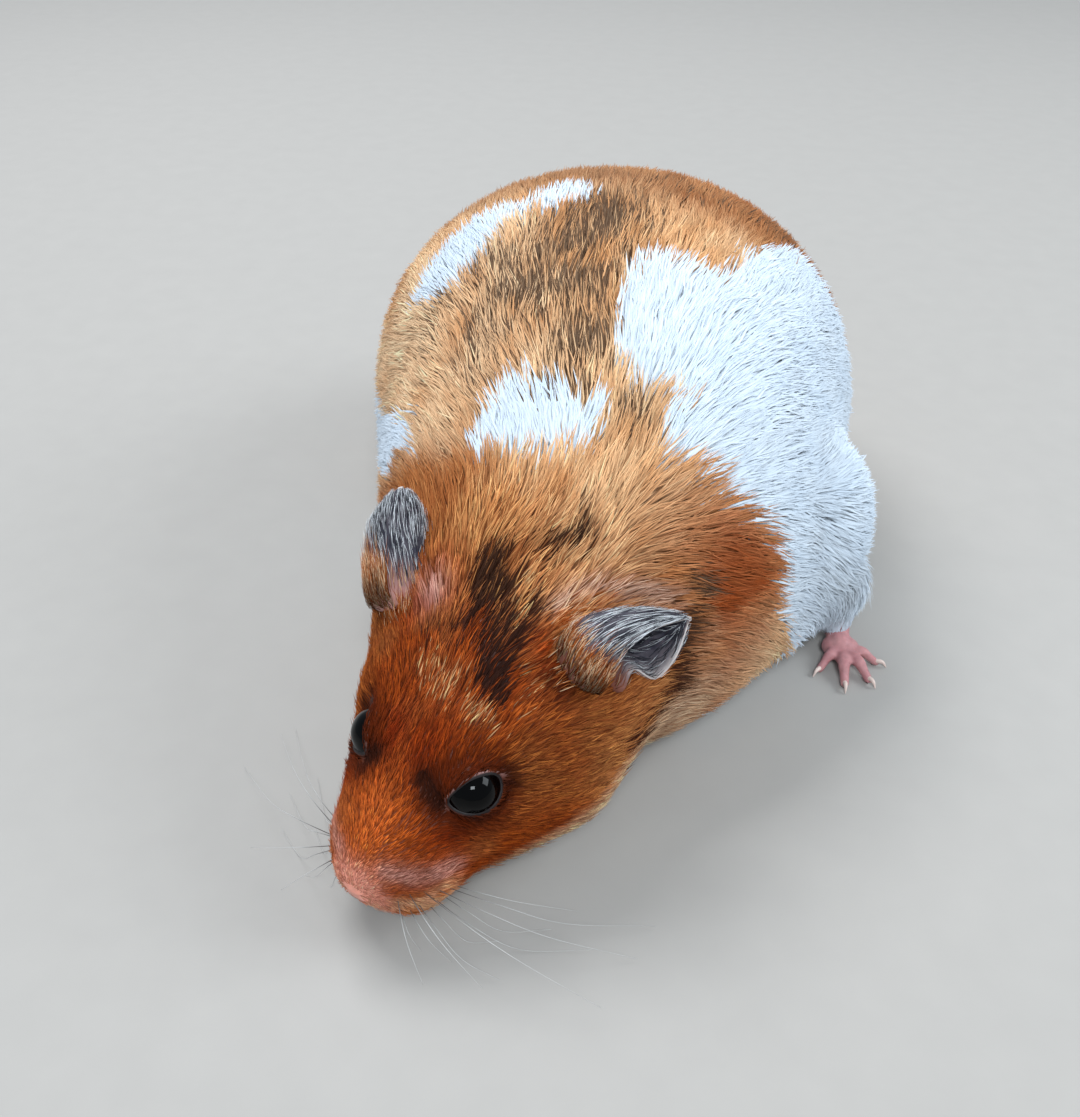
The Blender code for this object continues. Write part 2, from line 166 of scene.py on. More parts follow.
def spline(values, t):
    """Catmull-Rom curve through `values` (n x k) at t from 0 to n - 1."""
    values = np.asarray(values, float)
    last = len(values) - 1
    k = np.clip(np.floor(t).astype(int), 0, last - 1)
    f = (t - k)[:, None]
    padded = np.vstack([2 * values[0] - values[1], values, 2 * values[-1] - values[-2]])
    a, b, c, d = (padded[k + step] for step in range(4))
    square, cube = 2 * a - 5 * b + 4 * c - d, 3 * b - a - 3 * c + d
    return 0.5 * (2 * b + (c - a) * f + square * f ** 2 + cube * f ** 3)


def to_segments(points, path):
    """Distance from each point to the polyline `path`."""
    best = np.full(len(points), 1e9)
    path = np.asarray(path, float)
    for a, b in zip(path, path[1:]):
        along = np.clip(((points - a) @ (b - a)) / max((b - a) @ (b - a), 1e-9), 0.0, 1.0)
        best = np.minimum(best, np.linalg.norm(points - a - along[:, None] * (b - a), axis=1))
    return best


def near_path(points, path, radius):
    """1 on the polyline, fading with distance."""
    return np.exp(-(to_segments(points, path) / radius) ** 2)


def near_spot(points, spot, size):
    """1 at the spot, fading with distance; `size` for each axis."""
    return np.exp(-np.sum(((points - spot) / size) ** 2, axis=1))


def circle(sides):
    """Cosines and sines of evenly spread turns."""
    turns = np.arange(sides) * 2 * math.pi / sides
    return np.cos(turns), np.sin(turns)


def inside(points, outline):
    """Whether each flat point is inside the closed outline."""
    result = np.zeros(len(points), bool)
    shape = np.asarray(outline, float)
    for a, b in zip(shape, np.roll(shape, -1, axis=0)):
        crosses = (a[1] > points[:, 1]) != (b[1] > points[:, 1])
        rise = b[1] - a[1] if b[1] != a[1] else 1e-9
        at = a[0] + (points[:, 1] - a[1]) * (b[0] - a[0]) / rise
        result ^= crosses & (points[:, 0] < at)
    return result


# ---------------------------------------------------------------- frame

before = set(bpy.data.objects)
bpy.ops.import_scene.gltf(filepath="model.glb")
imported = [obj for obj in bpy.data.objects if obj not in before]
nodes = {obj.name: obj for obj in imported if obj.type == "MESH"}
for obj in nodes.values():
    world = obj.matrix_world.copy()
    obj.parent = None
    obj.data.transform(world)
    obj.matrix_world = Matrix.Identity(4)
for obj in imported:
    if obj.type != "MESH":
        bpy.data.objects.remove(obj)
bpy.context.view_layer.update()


def box(name):
    low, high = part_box(name)
    return np.array(low) / MM, np.array(high) / MM


def middle(name):
    low, high = box(name)
    return (low + high) / 2


def head_frame():
    """Origin and axes of the head, from the two eyes and the head's pitch."""
    left, right = middle("left_eye"), middle("right_eye")
    x = unit(left - right)
    level = unit(np.cross((0.0, 0.0, 1.0), x))
    upright = np.cross(x, level)
    pitch = math.radians(HEAD_PITCH)
    y = level * math.cos(pitch) + upright * math.sin(pitch)
    z = np.cross(x, y)
    origin = (left + right) / 2 - y * EYE_IN_HEAD[0] - z * EYE_IN_HEAD[1]
    return origin, np.column_stack([x, y, z])


HEAD_AT, HEAD_AXES = head_frame()


def to_head(points):
    """Points of the row frame, in head axes."""
    return (np.asarray(points, float) - HEAD_AT) @ HEAD_AXES


def from_head(points):
    """Points in head axes, in the row frame."""
    return HEAD_AT + np.asarray(points, float) @ HEAD_AXES.T


def turned(direction):
    """A direction in head axes, in the row frame."""
    return np.asarray(direction, float) @ HEAD_AXES.T


def folded(local):
    """Points in head axes, with the right side laid on the left one."""
    return np.column_stack([np.abs(local[:, 0]), local[:, 1:]])


def chart(points):
    """Length along y and degrees round the body's chart axis."""
    angle = np.degrees(np.arctan2(points[:, 0] - CHART_X, points[:, 2] - CHART_Z))
    return points[:, 1], angle


# ---------------------------------------------------------------- shapes in numbers

def triangle_normals(points, faces):
    a, b, c = points[faces[:, 0]], points[faces[:, 1]], points[faces[:, 2]]
    return np.cross(b - a, c - a)


def point_normals(points, faces):
    flat = triangle_normals(points, faces)
    total = np.zeros_like(points)
    for corner in range(3):
        for axis in range(3):
            total[:, axis] += np.bincount(faces[:, corner], flat[:, axis], len(points))
    return unit(total)


def edge_pairs(faces):
    pairs = np.vstack([faces[:, [0, 1]], faces[:, [1, 2]], faces[:, [2, 0]]])
    return np.unique(np.sort(pairs, axis=1), axis=0)


def relax(points, faces, rounds, amount):
    """Laplacian smoothing, by `amount` for each point."""
    pairs = edge_pairs(faces)
    count = np.bincount(pairs.ravel(), minlength=len(points))
    amount = np.broadcast_to(np.asarray(amount, float), len(points))[:, None]
    for _ in range(rounds):
        total = np.zeros_like(points)
        for axis in range(3):
            total[:, axis] += np.bincount(pairs[:, 0], points[pairs[:, 1], axis], len(points))
            total[:, axis] += np.bincount(pairs[:, 1], points[pairs[:, 0], axis], len(points))
        points = points + (total / np.maximum(count, 1)[:, None] - points) * amount
    return points


def placed(name, data):
    """A new object with the data, in the scene."""
    made = bpy.data.objects.new(name, data)
    bpy.context.scene.collection.objects.link(made)
    return made


def make_object(name, points, faces):
    mesh = bpy.data.meshes.new(name)
    mesh.from_pydata((np.asarray(points) * MM).tolist(), [], [list(map(int, f)) for f in faces])
    mesh.update()
    mesh.shade_smooth()
    return placed(name, mesh)


def mesh_arrays(mesh):
    points = np.empty(len(mesh.vertices) * 3)
    mesh.vertices.foreach_get("co", points)
    mesh.calc_loop_triangles()
    faces = np.empty(len(mesh.loop_triangles) * 3, np.int64)
    mesh.loop_triangles.foreach_get("vertices", faces)
    return points.reshape(-1, 3) / MM, faces.reshape(-1, 3)


def joined(shells):
    """Several (points, faces) as one."""
    points, faces, start = [], [], 0
    for shell_points, shell_faces in shells:
        points.append(np.asarray(shell_points, float))
        faces += [[v + start for v in face] for face in shell_faces]
        start += len(shell_points)
    return np.vstack(points), faces


def remeshed(points, faces, voxel):
    """One closed surface round the given closed shells, as (points, triangles)."""
    holder = make_object("working_shell", points, faces)
    skin = holder.modifiers.new("Voxels", "REMESH")
    skin.mode = "VOXEL"
    skin.voxel_size = voxel * MM
    graph = bpy.context.evaluated_depsgraph_get()
    result = bpy.data.meshes.new_from_object(holder.evaluated_get(graph))
    arrays = mesh_arrays(result)
    bpy.data.objects.remove(holder)
    return arrays


def refined(points, faces, chosen):
    """Splits the chosen triangles' edges in two, keeping the surface closed."""
    mesh = bpy.data.meshes.new("working_mesh")
    mesh.from_pydata((points * MM).tolist(), [], faces.tolist())
    bm = bmesh.new()
    bm.from_mesh(mesh)
    bm.faces.ensure_lookup_table()
    edges = {edge for k in np.flatnonzero(chosen) for edge in bm.faces[k].edges}
    bmesh.ops.subdivide_edges(bm, edges=list(edges), cuts=1, use_grid_fill=True)
    bmesh.ops.triangulate(bm, faces=bm.faces[:])
    bm.to_mesh(mesh)
    bm.free()
    return mesh_arrays(mesh)


def skinned_rings(rings):
    """Closed surface over a row of rings with flat ends."""
    count = len(rings[0])
    points = np.vstack(rings)
    faces = []
    for j in range(len(rings) - 1):
        a, b = j * count, (j + 1) * count
        for i in range(count):
            k = (i + 1) % count
            faces.append([a + i, a + k, b + k, b + i])
    faces.append(list(range(count))[::-1])
    faces.append([(len(rings) - 1) * count + i for i in range(count)])
    return points, faces


def tube(path, radii, sides=12, steps=4, domed=True):
    """A tapered tube along a smooth path, with rounded ends."""
    t = np.linspace(0, len(path) - 1, (len(path) - 1) * steps + 1)
    rows = spline(np.column_stack([path, radii]), t)
    centres, widths = rows[:, :3], np.maximum(rows[:, 3], 0.02)
    ways = unit(np.gradient(centres, axis=0))
    sections = list(zip(centres, widths, ways))

    def cap(end, sign):
        centre, width, way = sections[end]
        angles = [math.radians(a) for a in (80, 50, 25)]
        return [(centre + sign * way * width * math.sin(a), width * math.cos(a), way) for a in angles]

    if domed:
        sections = cap(0, -1) + sections + cap(-1, 1)[::-1]
    side = np.cross(ways[0], (0.3, 0.2, 0.93))
    cosines, sines = circle(sides)
    rings = []
    for centre, width, way in sections:
        side = unit(side - way * (side @ way))
        up = np.cross(way, side)
        rings.append(centre + (np.outer(cosines, side) + np.outer(sines, up)) * width)
    return skinned_rings(rings)


def egg(centre, radii, sides=24, rings=14):
    """An ellipsoid."""
    rows = []
    cosines, sines = circle(sides)
    for k in range(1, rings):
        a = math.pi * k / rings
        flat = np.column_stack([cosines * math.sin(a), sines * math.sin(a), np.full(sides, -math.cos(a))])
        rows.append(np.asarray(centre) + flat * np.asarray(radii))
    return skinned_rings(rows)


# ---------------------------------------------------------------- eyes' geometry

def eye_axes(side):
    """(centre, axis, forward, up) of an eye in the row frame; side is 1 left, -1 right."""
    centre = middle("left_eye" if side > 0 else "right_eye")
    if side < 0:
        centre = centre + FAR_EYE_INWARDS
    flip = np.array([side, 1.0, 1.0])
    axis = unit(turned(np.array(EYE_AXIS) * flip))
    ahead = turned(np.array(EYE_FORWARD) * flip)
    ahead = unit(ahead - axis * (ahead @ axis))
    up = np.cross(axis, ahead)
    if up @ turned((0, 0, 1)) < 0:
        up = -up
    return centre, axis, ahead, up


EYES = {side: eye_axes(side) for side in (1, -1)}


def past_lid(points, side):
    """Millimetres outside the eye's opening, negative inside it, and the distance from the eye's centre."""
    centre, axis, ahead, up = EYES[side]
    d = points - centre
    distance = np.linalg.norm(d, axis=1)
    d = d / np.maximum(distance, 1e-6)[:, None]
    out = d @ axis
    a = np.arctan2(d @ ahead, out)
    b = np.arctan2(d @ up, np.hypot(out, d @ ahead))
    wide = np.where(a > 0, EYE_FRONT, EYE_BACK)
    pinch = np.clip(a / EYE_FRONT, 0.0, 1.0) ** 2
    opening = EYE_HIGH if side > 0 else FAR_EYE_HIGH
    high = opening * (1.0 - LID_PINCH * pinch) * np.where(b > 0, UPPER_LID, 1.0)
    share = np.hypot(a / wide, b / high)
    turn = np.hypot(a, b)
    return EYE_RADIUS * turn * (1.0 - 1.0 / np.maximum(share, 1e-3)), distance


# ---------------------------------------------------------------- markings

def scaled(outline):
    """An outline given as (y, degrees) with both in millimetres."""
    return [(y, angle * ARC) for y, angle in outline]


WHITE_FLANK = scaled([
    (-19, 126), (-21.5, 109), (-26.5, 92), (-25.6, 76), (-26.2, 62), (-26.9, 50), (-26.2, 40), (-26.6, 32),
    (-25.2, 25), (-22.8, 24), (-20.2, 31), (-20.4, 18), (-18.8, 12), (-14, 9), (-8, 7.5), (-0.7, 9),
    (1.6, 13), (0.3, 22), (2.4, 28), (8, 31), (13.4, 34), (20, 41), (25.4, 47), (27.4, 58), (25, 74),
    (21, 92), (18, 126)])
WHITE_SHOULDER = scaled([
    (-28.8, -33), (-25, -27), (-21.8, -20.5), (-20, -14.5), (-22, -4), (-24.6, 12.5), (-28.6, 8), (-29.4, -1),
    (-30.2, -9), (-29, -20)])
WHITE_BACK = scaled([
    (2, -33), (1, -45), (5, -52), (11, -48), (15.5, -36), (18.5, -25), (15.5, -18), (11, -25), (6, -28)])
WHITE_SPOT = scaled([(14, -15), (17.5, -5), (21.5, -7), (22.5, -14), (18, -20)])
WHITE_RIGHT = scaled([
    (-31, -49), (-25, -52), (-18, -54), (-12, -61), (-6, -74), (13, -86), (10, -125), (-5, -125), (-8, -96),
    (-14, -78), (-24, -68), (-31, -62)])
WHITES = (WHITE_FLANK, WHITE_SHOULDER, WHITE_BACK, WHITE_SPOT, WHITE_RIGHT)

# Dark ticking on the body: (y, degrees, length, degrees of width, strength)
SADDLE_TICKS = [
    (4, -6, 9, 11, 0.50), (-8, 0, 9, 9, 0.46), (-17, 2, 4, 7, 0.35), (-7, -20, 7, 12, 0.30),
    (9, 3, 5, 8, 0.50), (-23.5, -8, 2.4, 9, 0.45), (-24, 17, 2.5, 5, 0.30), (2, -27, 4, 6, 0.35),
    (27, 20, 5, 14, 0.22),
    (14, -3, 5, 9, 0.30), (28, 44, 3, 8, 0.35), (-4, -14, 8, 7, 0.30), (-14, -28, 8, 5, 0.26),
    (0, -40, 9, 5, 0.26)]

# Dark and pale ticking on the head: (x, y, half width, half length, strength), seen from above
CROWN_DARK = [
    (-2.4, 20.5, 1.5, 2.8, 1.20), (-0.6, 18.0, 1.8, 2.4, 1.30), (1.6, 16.0, 2.0, 2.4, 1.30),
    (3.2, 13.4, 1.9, 2.6, 1.20), (4.6, 10.4, 1.7, 2.2, 1.30), (6.2, 8.6, 1.4, 1.4, 1.10),
    (5.0, 14.8, 1.3, 2.8, 0.70), (6.6, 12.2, 1.0, 2.2, 0.45), (4.6, 19.0, 1.1, 2.2, 0.50),
    (-0.4, 12.5, 1.3, 2.4, 0.55), (-3.6, 13.0, 2.0, 3.0, 0.38), (3.4, 26.0, 1.6, 1.8, 0.50),
    (5.0, 29.2, 1.5, 2.0, 0.90), (1.0, 23.5, 1.6, 2.4, 0.35), (-6.0, 8.0, 1.6, 3.0, 0.30)]
CROWN_PALE = [
    (0.3, 6.2, 2.4, 1.8, 0.50), (-3.4, 7.8, 1.4, 1.4, 0.30), (1.2, 8.8, 0.9, 1.6, 0.25),
    (6.0, 5.6, 2.0, 1.2, 0.60), (9.2, 11.6, 1.1, 2.2, 0.40), (4.0, 18.0, 0.8, 1.8, 0.30),
    (2.6, 21.0, 1.2, 1.8, 0.35)]

# Soft patches: (place in a, place in b, size in a, size in b) of the chart, or of x and y seen from above
COLLAR = (-30, 72, 6, 22)
NAPE_PATCH = (-38, 26, 8.0, 24)
BETWEEN_EYES = (2.6, -1.0, 3.2, 4.8)

# Soft spots in head axes: (place, size)
UNDER_EYE = ((8.0, -4.6, -1.6), (2.6, 2.6, 1.6))
BARE_FOLD = ((-8.1, 15.8, 10.2), (2.0, 2.4, 2.5))
# Painted shade in front of the near ear's base
NEAR_EAR_SHADE = ((10.8, 13.4, 6.0), (2.4, 1.8, 3.5))
FAR_EAR = ((-10.5, 13.5, 6.0), (3.0, 2.8, 4.5))

# Mauve strip of the whisker pads, in head axes
PAD_PATH = [(3.4, -11.6, -3.0), (5.0, -10.3, -4.0), (6.8, -8.5, -5.0), (8.2, -6.0, -5.6)]

# Hollow in front of each eye, in head axes: sunk into the skin, and darkened along it as painted shade
HOLLOW_PATH = [(3.4, -2.7, 3.7), (4.6, -3.5, 2.6), (6.1, -3.3, 1.4)]

# Ash-pink arc behind the near ear
EAR_ARC = [(6.4, 20.9, 10.0), (7.1, 23.0, 10.4), (9.0, 25.4, 10.4), (12.5, 28.2, 8.6), (16.2, 31.0, 5.5)]

# Painted shade, deep red, in the fold in front of the near ear
EAR_FOLD_SHADE = [(8.0, 16.4, 9.1), (8.9, 14.9, 8.6), (9.9, 14.6, 8.0), (11.5, 14.0, 6.7)]

# Dark band behind the near ear, and the paler one behind it, as paths in head axes
NECK_DARK = [(17.4, 34.5, 5.0), (18.2, 30.0, 0.5), (18.3, 26.9, -5.6), (17.9, 22.5, -7.6), (17.7, 18.5, -6.5)]
NECK_PALE = [(20.4, 33.5, -0.5), (19.6, 30.3, -4.6), (19.2, 28.1, -9.0), (18.6, 25.0, -12.5)]


def blob(a, b, centre_a, centre_b, size_a, size_b):
    return np.exp(-((a - centre_a) / size_a) ** 2 - ((b - centre_b) / size_b) ** 2)


def blobs(a, b, rows):
    """The sum of soft patches, each (place in a, place in b, size in a, size in b, strength)."""
    total = np.zeros(len(a))
    for *patch, strength in rows:
        total += strength * blob(a, b, *patch)
    return total


def whiteness(points, fray):
    """Where the coat is white, as true or false; fray (n x 2, mm) ruffles the edges."""
    y, angle = chart(points)
    edge = np.column_stack([noise(points, 2.6, 3), noise(points, 2.6, 4)]) * 0.9
    flat = np.column_stack([y, angle * ARC]) + edge + fray
    white = np.zeros(len(points), bool)
    for outline in WHITES:
        white |= inside(flat, outline)
    belly = np.abs(angle) + 6 * noise(points, 9, 5) + fray[:, 0] * 3 > 122
    return white | belly


def body_colour(y, angle, n_big, n_mid):
    """The warm colours behind the head."""
    rump = smooth_step(10, 26, y + 0.14 * angle)
    right_side = smooth_step(-38, -55, angle) * smooth_step(20, 8, y) * smooth_step(-34, -24, y)
    right_back = smooth_step(4, -26, angle) * smooth_step(24, 10, y)
    shoulder = smooth_step(20, 60, angle) * (1 - smooth_step(-32, -20, y + 0.06 * angle))
    return layered(mix(BACK_ORANGE, GOLD, 0.42 + 0.50 * n_big + 0.60 * n_mid), [
        (mix(TAWNY, RUMP_RED, smooth_step(-10, 30, angle + 20 * n_big)), 0.85 * rump + 0.3 * n_mid * rump),
        (CREAM, 0.55 * right_side + 0.4 * n_mid * right_side),
        (CREAM, 0.38 * right_back * (1 + 0.8 * n_mid)),
        (CREAM, 0.45 * smooth_step(70, 100, np.abs(angle))),
        (RUST, 0.75 * shoulder + 0.3 * n_mid * shoulder),
        (RUST, 0.75 * blob(y, angle, *COLLAR) * (1 + 0.4 * n_mid))])


def brow_colour(points, half_face, n_mid):
    """Forehead, cheeks, nose bridge and the surroundings of the eyes."""
    x, back, z = half_face.T
    outer = smooth_step(7.5, 12.5, x) * smooth_step(-4, 4, back) * smooth_step(-8, 0, z + 0.3 * back)
    bridge = np.exp(-(x / 3.8) ** 2) * smooth_step(-1, -9, back) * smooth_step(-9, -4, z)
    eye_shades = [(DARK_RUST, 0.90 * smooth_step(7.4, 4.3, np.linalg.norm(points - centre, axis=1)))
                  for centre, *_ in EYES.values()]
    colour = layered(mix(RUST, ORANGE, smooth_step(8, 30, back) + 0.35 * n_mid), [
        (CHEEK, 0.75 * outer + 0.3 * n_mid * outer),
        (DEEP_RUST, 0.80 * blob(x, back, *BETWEEN_EYES) * (1 + 0.5 * n_mid)),
        (PINK_RUST, 0.75 * bridge),
        (DEEP_RUST, 0.92 * near_spot(half_face, *UNDER_EYE))] + eye_shades)
    colour = colour * (1 - 0.18 * smooth_step(-9, -1, back) * smooth_step(24, 12, back))[:, None]
    return mix(colour, ORANGE, 0.5 * (smooth_step(6, 14, back) * smooth_step(3, -8, z)))


def face_colour(points, local, n_mid, n_fine):
    """The warm colours of the head, the same on both sides, with painted shade in the hollow before each eye.
    """
    half_face = folded(local)
    x, back, z = half_face.T
    lip = smooth_step(-5.5, -7.5, z) * smooth_step(-5.0, -8.0, back)
    muzzle = smooth_step(-10.8, -13.6, back + 0.35 * np.maximum(x - 2.2, 0))
    eye_front_shade = near_path(half_face, HOLLOW_PATH, 1.40)
    return layered(brow_colour(points, half_face, n_mid), [
        (JAW, 0.95 * smooth_step(-8.5, -12.5, z - 0.12 * back + 0.8 * n_mid)),
        (mix(LIP_PALE, LIP_ORANGE, 0.55 + n_fine), 0.85 * lip),
        (PALE_PINK, 0.60 * near_path(half_face, PAD_PATH, 1.35) * (1 + 0.5 * n_fine)),
        (NOSE_PINK, 0.85 * np.clip(muzzle * (1 + 0.4 * n_fine), 0, 1)),
        # Painted shade: the hollow in front of each eye darkened nearly to black
        (PAINTED_SHADE_AND_LID_BLACK, 0.95 * eye_front_shade + 0.9 * eye_front_shade ** 4)])


def eye_rings(points, colour, root):
    """Dark hair at the lids of both eyes."""
    for side in (1, -1):
        gap, distance = past_lid(points, side)
        near = (distance < EYE_RADIUS + 3.0) & (gap < 4.0)
        ring = np.where(near, np.exp(-np.clip(gap - 0.1, 0, None) / 0.40), 0.0)
        colour = mix(colour, PAINTED_SHADE_AND_LID_BLACK, 0.7 * ring)
        root = mix(root, PAINTED_SHADE_AND_LID_BLACK, 0.8 * ring)
    return colour, root


def paint(points, chance, fray):
    """(tip, root) colours of the coat at the points. chance picks the single dark and pale hairs."""
    local = to_head(points)
    x, back, z = local.T
    y, angle = chart(points)
    n_big, n_mid, n_fine = noise(points, 9, 11), noise(points, 3.5, 12), noise(points, 1.3, 13)
    on_head = 1 - smooth_step(27, 37, back + 1.5 * n_mid)
    colour = mix(body_colour(y, angle, n_big, n_mid), face_colour(points, local, n_mid, n_fine), on_head)
    nape = blob(y, angle, *NAPE_PATCH) * smooth_step(18, 24, back)
    colour = mix(colour, NAPE, 0.55 * nape * (1 + 0.6 * n_mid))

    streak = noise(local * (1.0, 0.3, 1.0), 0.9, 15)
    crown = blobs(x, back, CROWN_DARK) * (1.05 + 1.1 * streak) * smooth_step(2, 6, z)
    dark = blobs(y, angle, SADDLE_TICKS) * (1.15 * (1 - on_head)) + crown
    dark += 0.85 * near_path(local, NECK_DARK, 2.2)
    dark = np.clip(dark * (1.0 + 0.6 * n_mid + 0.4 * n_fine), 0, None)
    pale = blobs(x, back, CROWN_PALE) * (smooth_step(0, 4, z) * on_head)
    pale = np.clip(pale * (1 + 0.8 * n_mid), 0, 1)

    picked = chance < np.clip(dark, 0, 0.84)
    colour = layered(colour, [
        (PALE_TIP, np.where(chance > 1 - 0.75 * pale, 0.85, 0.25 * pale)),
        (ASH_BROWN, 0.5 * near_path(local, NECK_PALE, 1.7)),
        (ASH_PINK, 0.65 * near_path(local, EAR_ARC, 1.3)),
        (PALE_PINK, 0.85 * near_spot(local, *BARE_FOLD)),
        (mix(TICK, DARK, on_head), np.where(picked, 0.95, 0.30 * np.clip(dark, 0, 1))),
        # Painted shade in the fold in front of the near ear and at its base
        (DEEP_RUST, 0.85 * near_path(local, EAR_FOLD_SHADE, 1.5)),
        (PAINTED_SHADE_AND_LID_BLACK, 0.80 * near_spot(local, *NEAR_EAR_SHADE)),
        (DEEP_RUST, 0.6 * near_spot(local, *FAR_EAR))])

    root = mix(mix(UNDERCOAT, HEAD_ROOT, 0.7 * on_head), colour, 0.55 - 0.25 * on_head)
    root = mix(root, DARK, 0.85 * np.clip(crown, 0, 1))
    white = whiteness(points, fray) & (on_head < 0.5)
    white &= ~((dark > 0.32) & (chance < 0.10))
    colour = np.where(white[:, None], mix(WHITE, WHITE_SHADE, 0.4 + 0.5 * n_mid), colour)
    root = np.where(white[:, None], WHITE_ROOT, root)
    return eye_rings(points, colour, root)


# ---------------------------------------------------------------- skin

# How pink the lids are, left (1) and right (-1), and how high the tail reaches
LID_PINKS = {1: 0.8, -1: 0.25}
TAIL_TOP = 13

# How deep the skin lies under the solids, against y in head axes
DEPTH_BACK = (-15, -12.5, -9, -3, 6, 16, 28, 40, 55)
DEPTH = (0.05, 0.2, 0.4, 0.6, 0.8, 1.15, 1.7, 2.2, 2.5)

# Lines sunk into the muzzle, and the swell of a whisker pad, in head axes
NOSTRIL = [(0.75, -14.75, -6.9), (1.35, -14.35, -6.55), (1.75, -13.9, -6.9)]
CLEFT = [(0.0, -15.0, -7.2), (0.0, -14.6, -8.4), (0.0, -13.7, -9.8), (0.0, -12.6, -10.9)]
MOUTH = [(0.0, -12.6, -10.9), (2.2, -11.6, -11.7), (4.2, -9.4, -12.4), (5.2, -6.8, -12.8)]
PAD_AT = (6.6, -8.2, -7.6)
PAD_SIZE = (3.4, 3.6, 3.2)
PAD_SWELL = 0.95


def from_heel(points, name, squash=(1, 1, 1)):
    """Distance from the back of a foot, where the leg comes down to it."""
    low, high = box(name)
    heel = np.array([(low[0] + high[0]) / 2, high[1] - 2.4, 2.4])
    return np.linalg.norm((points - heel) * squash, axis=1)


def on_tail(points, start, end, top):
    """1 on the tail below `top`, rising from `start` to `end` mm behind its front."""
    front = box("tail")[0][1]
    return smooth_step(front + start, front + end, points[:, 1]) * (points[:, 2] < top)


def coat_depth(points):
    """How far the skin lies inside the solids."""
    depth = np.interp(to_head(points)[:, 1], DEPTH_BACK, DEPTH)
    for name in FEET:
        fade = smooth_step(3.0, 13.0 if "fore" in name else 9.0, from_heel(points, name))
        depth = 0.15 + (depth - 0.15) * fade
    return depth * (1 - 0.93 * on_tail(points, 1.0, 4.0, box("tail")[1][2] + 3.0))


def mirrored(path):
    return [(-x, y, z) for x, y, z in path]


def shape_lids(points, side):
    """The skin laid on an eye's ball, with a lid's edge and a crease round the opening."""
    centre = EYES[side][0]
    gap, distance = past_lid(points, side)
    near = distance < EYE_RADIUS + 4.5
    outward = unit(points - centre)
    hidden = 0.80 * EYE_RADIUS
    edge = EYE_RADIUS + 0.10
    lid = edge + 0.13 * np.sin(math.pi * np.clip(gap / 0.7, 0, 1))
    under = hidden + (edge - hidden) * smooth_step(-0.55, 0.0, gap)
    free = np.maximum(distance, EYE_RADIUS + 0.12)
    outer = lid + (free - lid) * smooth_step(0.30, 2.2, gap)
    crease = 0.16 * np.exp(-((gap - 1.15) / 0.28) ** 2)
    radius = np.where(gap < 0, under, outer - crease)
    blend = near * (1 - smooth_step(3.2, 4.4, distance - EYE_RADIUS))
    radius = distance + (radius - distance) * blend
    return centre + outward * radius[:, None]


def shape_face(points, faces):
    """Nostrils, cleft, mouth line, whisker pads, and the lids round the eyes."""
    local = to_head(points)
    half_face = folded(local)
    sink = np.zeros(len(points))
    for way in (NOSTRIL, mirrored(NOSTRIL)):
        sink += 0.55 * near_path(local, way, 0.32)
    sink += 0.40 * near_path(local, CLEFT, 0.30)
    for way in (MOUTH, mirrored(MOUTH)):
        sink += 0.50 * near_path(local, way, 0.35)
    sink += 0.55 * near_path(half_face, HOLLOW_PATH, 1.0)
    swell = PAD_SWELL * near_spot(half_face, PAD_AT, PAD_SIZE)
    points = points + point_normals(points, faces) * (swell - sink)[:, None]
    return shape_lids(shape_lids(points, 1), -1)


def near_lids(points, reach, inner, outer):
    """Whether the points are by an eye, between `inner` and `outer` mm past the edge of its opening."""
    near = np.zeros(len(points), bool)
    for side in (1, -1):
        gap, distance = past_lid(points, side)
        near |= (distance < EYE_RADIUS + reach) & (gap > inner) & (gap < outer)
    return near


def build_body():
    """The skin without ears and feet, as (points, triangles)."""
    shells = []
    for name in FLESH + ["left_eye", "right_eye"]:
        points, faces = mesh_arrays(nodes[name].data)
        swell = INFLATE if name in FLESH else 0.0
        shells.append((points + point_normals(points, faces) * swell, faces.tolist()))
    points, faces = remeshed(*joined(shells), BODY_VOXEL)
    points = relax(points, faces, 8, 0.5)
    points = points - point_normals(points, faces) * (INFLATE + coat_depth(points))[:, None]
    points = relax(points, faces, 2, 0.4)

    def face_front(back, low):
        local = to_head(points[faces].mean(axis=1))
        return (local[:, 1] < back) & (local[:, 2] > low)

    points, faces = refined(points, faces, face_front(9.0, -16))
    points = relax(points, faces, 2, 0.4)
    eyelids = near_lids(points[faces].mean(axis=1), 2.2, -math.inf, 2.4)
    points, faces = refined(points, faces, face_front(-11.0, -13.5) | eyelids)
    points, faces = refined(points, faces, near_lids(points[faces].mean(axis=1), 2.0, -0.7, 1.3))
    return shape_face(points, faces), faces


# Long lines of each ear from its base to its tip, in head axes, from one edge to the other
LEFT_EAR_ROWS = [
    [(14.3, 15.9, 4.5), (15.4, 17.7, 7.1), (16.3, 19.9, 9.1), (17.7, 22.8, 9.8), (20.1, 26.2, 9.4)],
    [(12.3, 14.4, 6.9), (12.8, 16.8, 9.4), (14.5, 20.1, 10.6), (17.2, 23.7, 10.2), (20.1, 26.2, 9.4)],
    [(9.3, 16.1, 8.4), (10.1, 19.2, 10.4), (13.2, 22.3, 10.8), (17.0, 24.9, 10.2), (20.2, 26.3, 9.4)],
    [(10.4, 19.2, 4.6), (12.2, 21.5, 5.0), (15.1, 23.4, 5.7), (17.8, 24.7, 7.2), (20.2, 26.2, 9.3)],
    [(15.9, 17.8, 2.9), (16.2, 20.1, 4.5), (18.7, 20.5, 3.9), (20.1, 23.0, 6.1), (20.1, 26.1, 9.3)]]
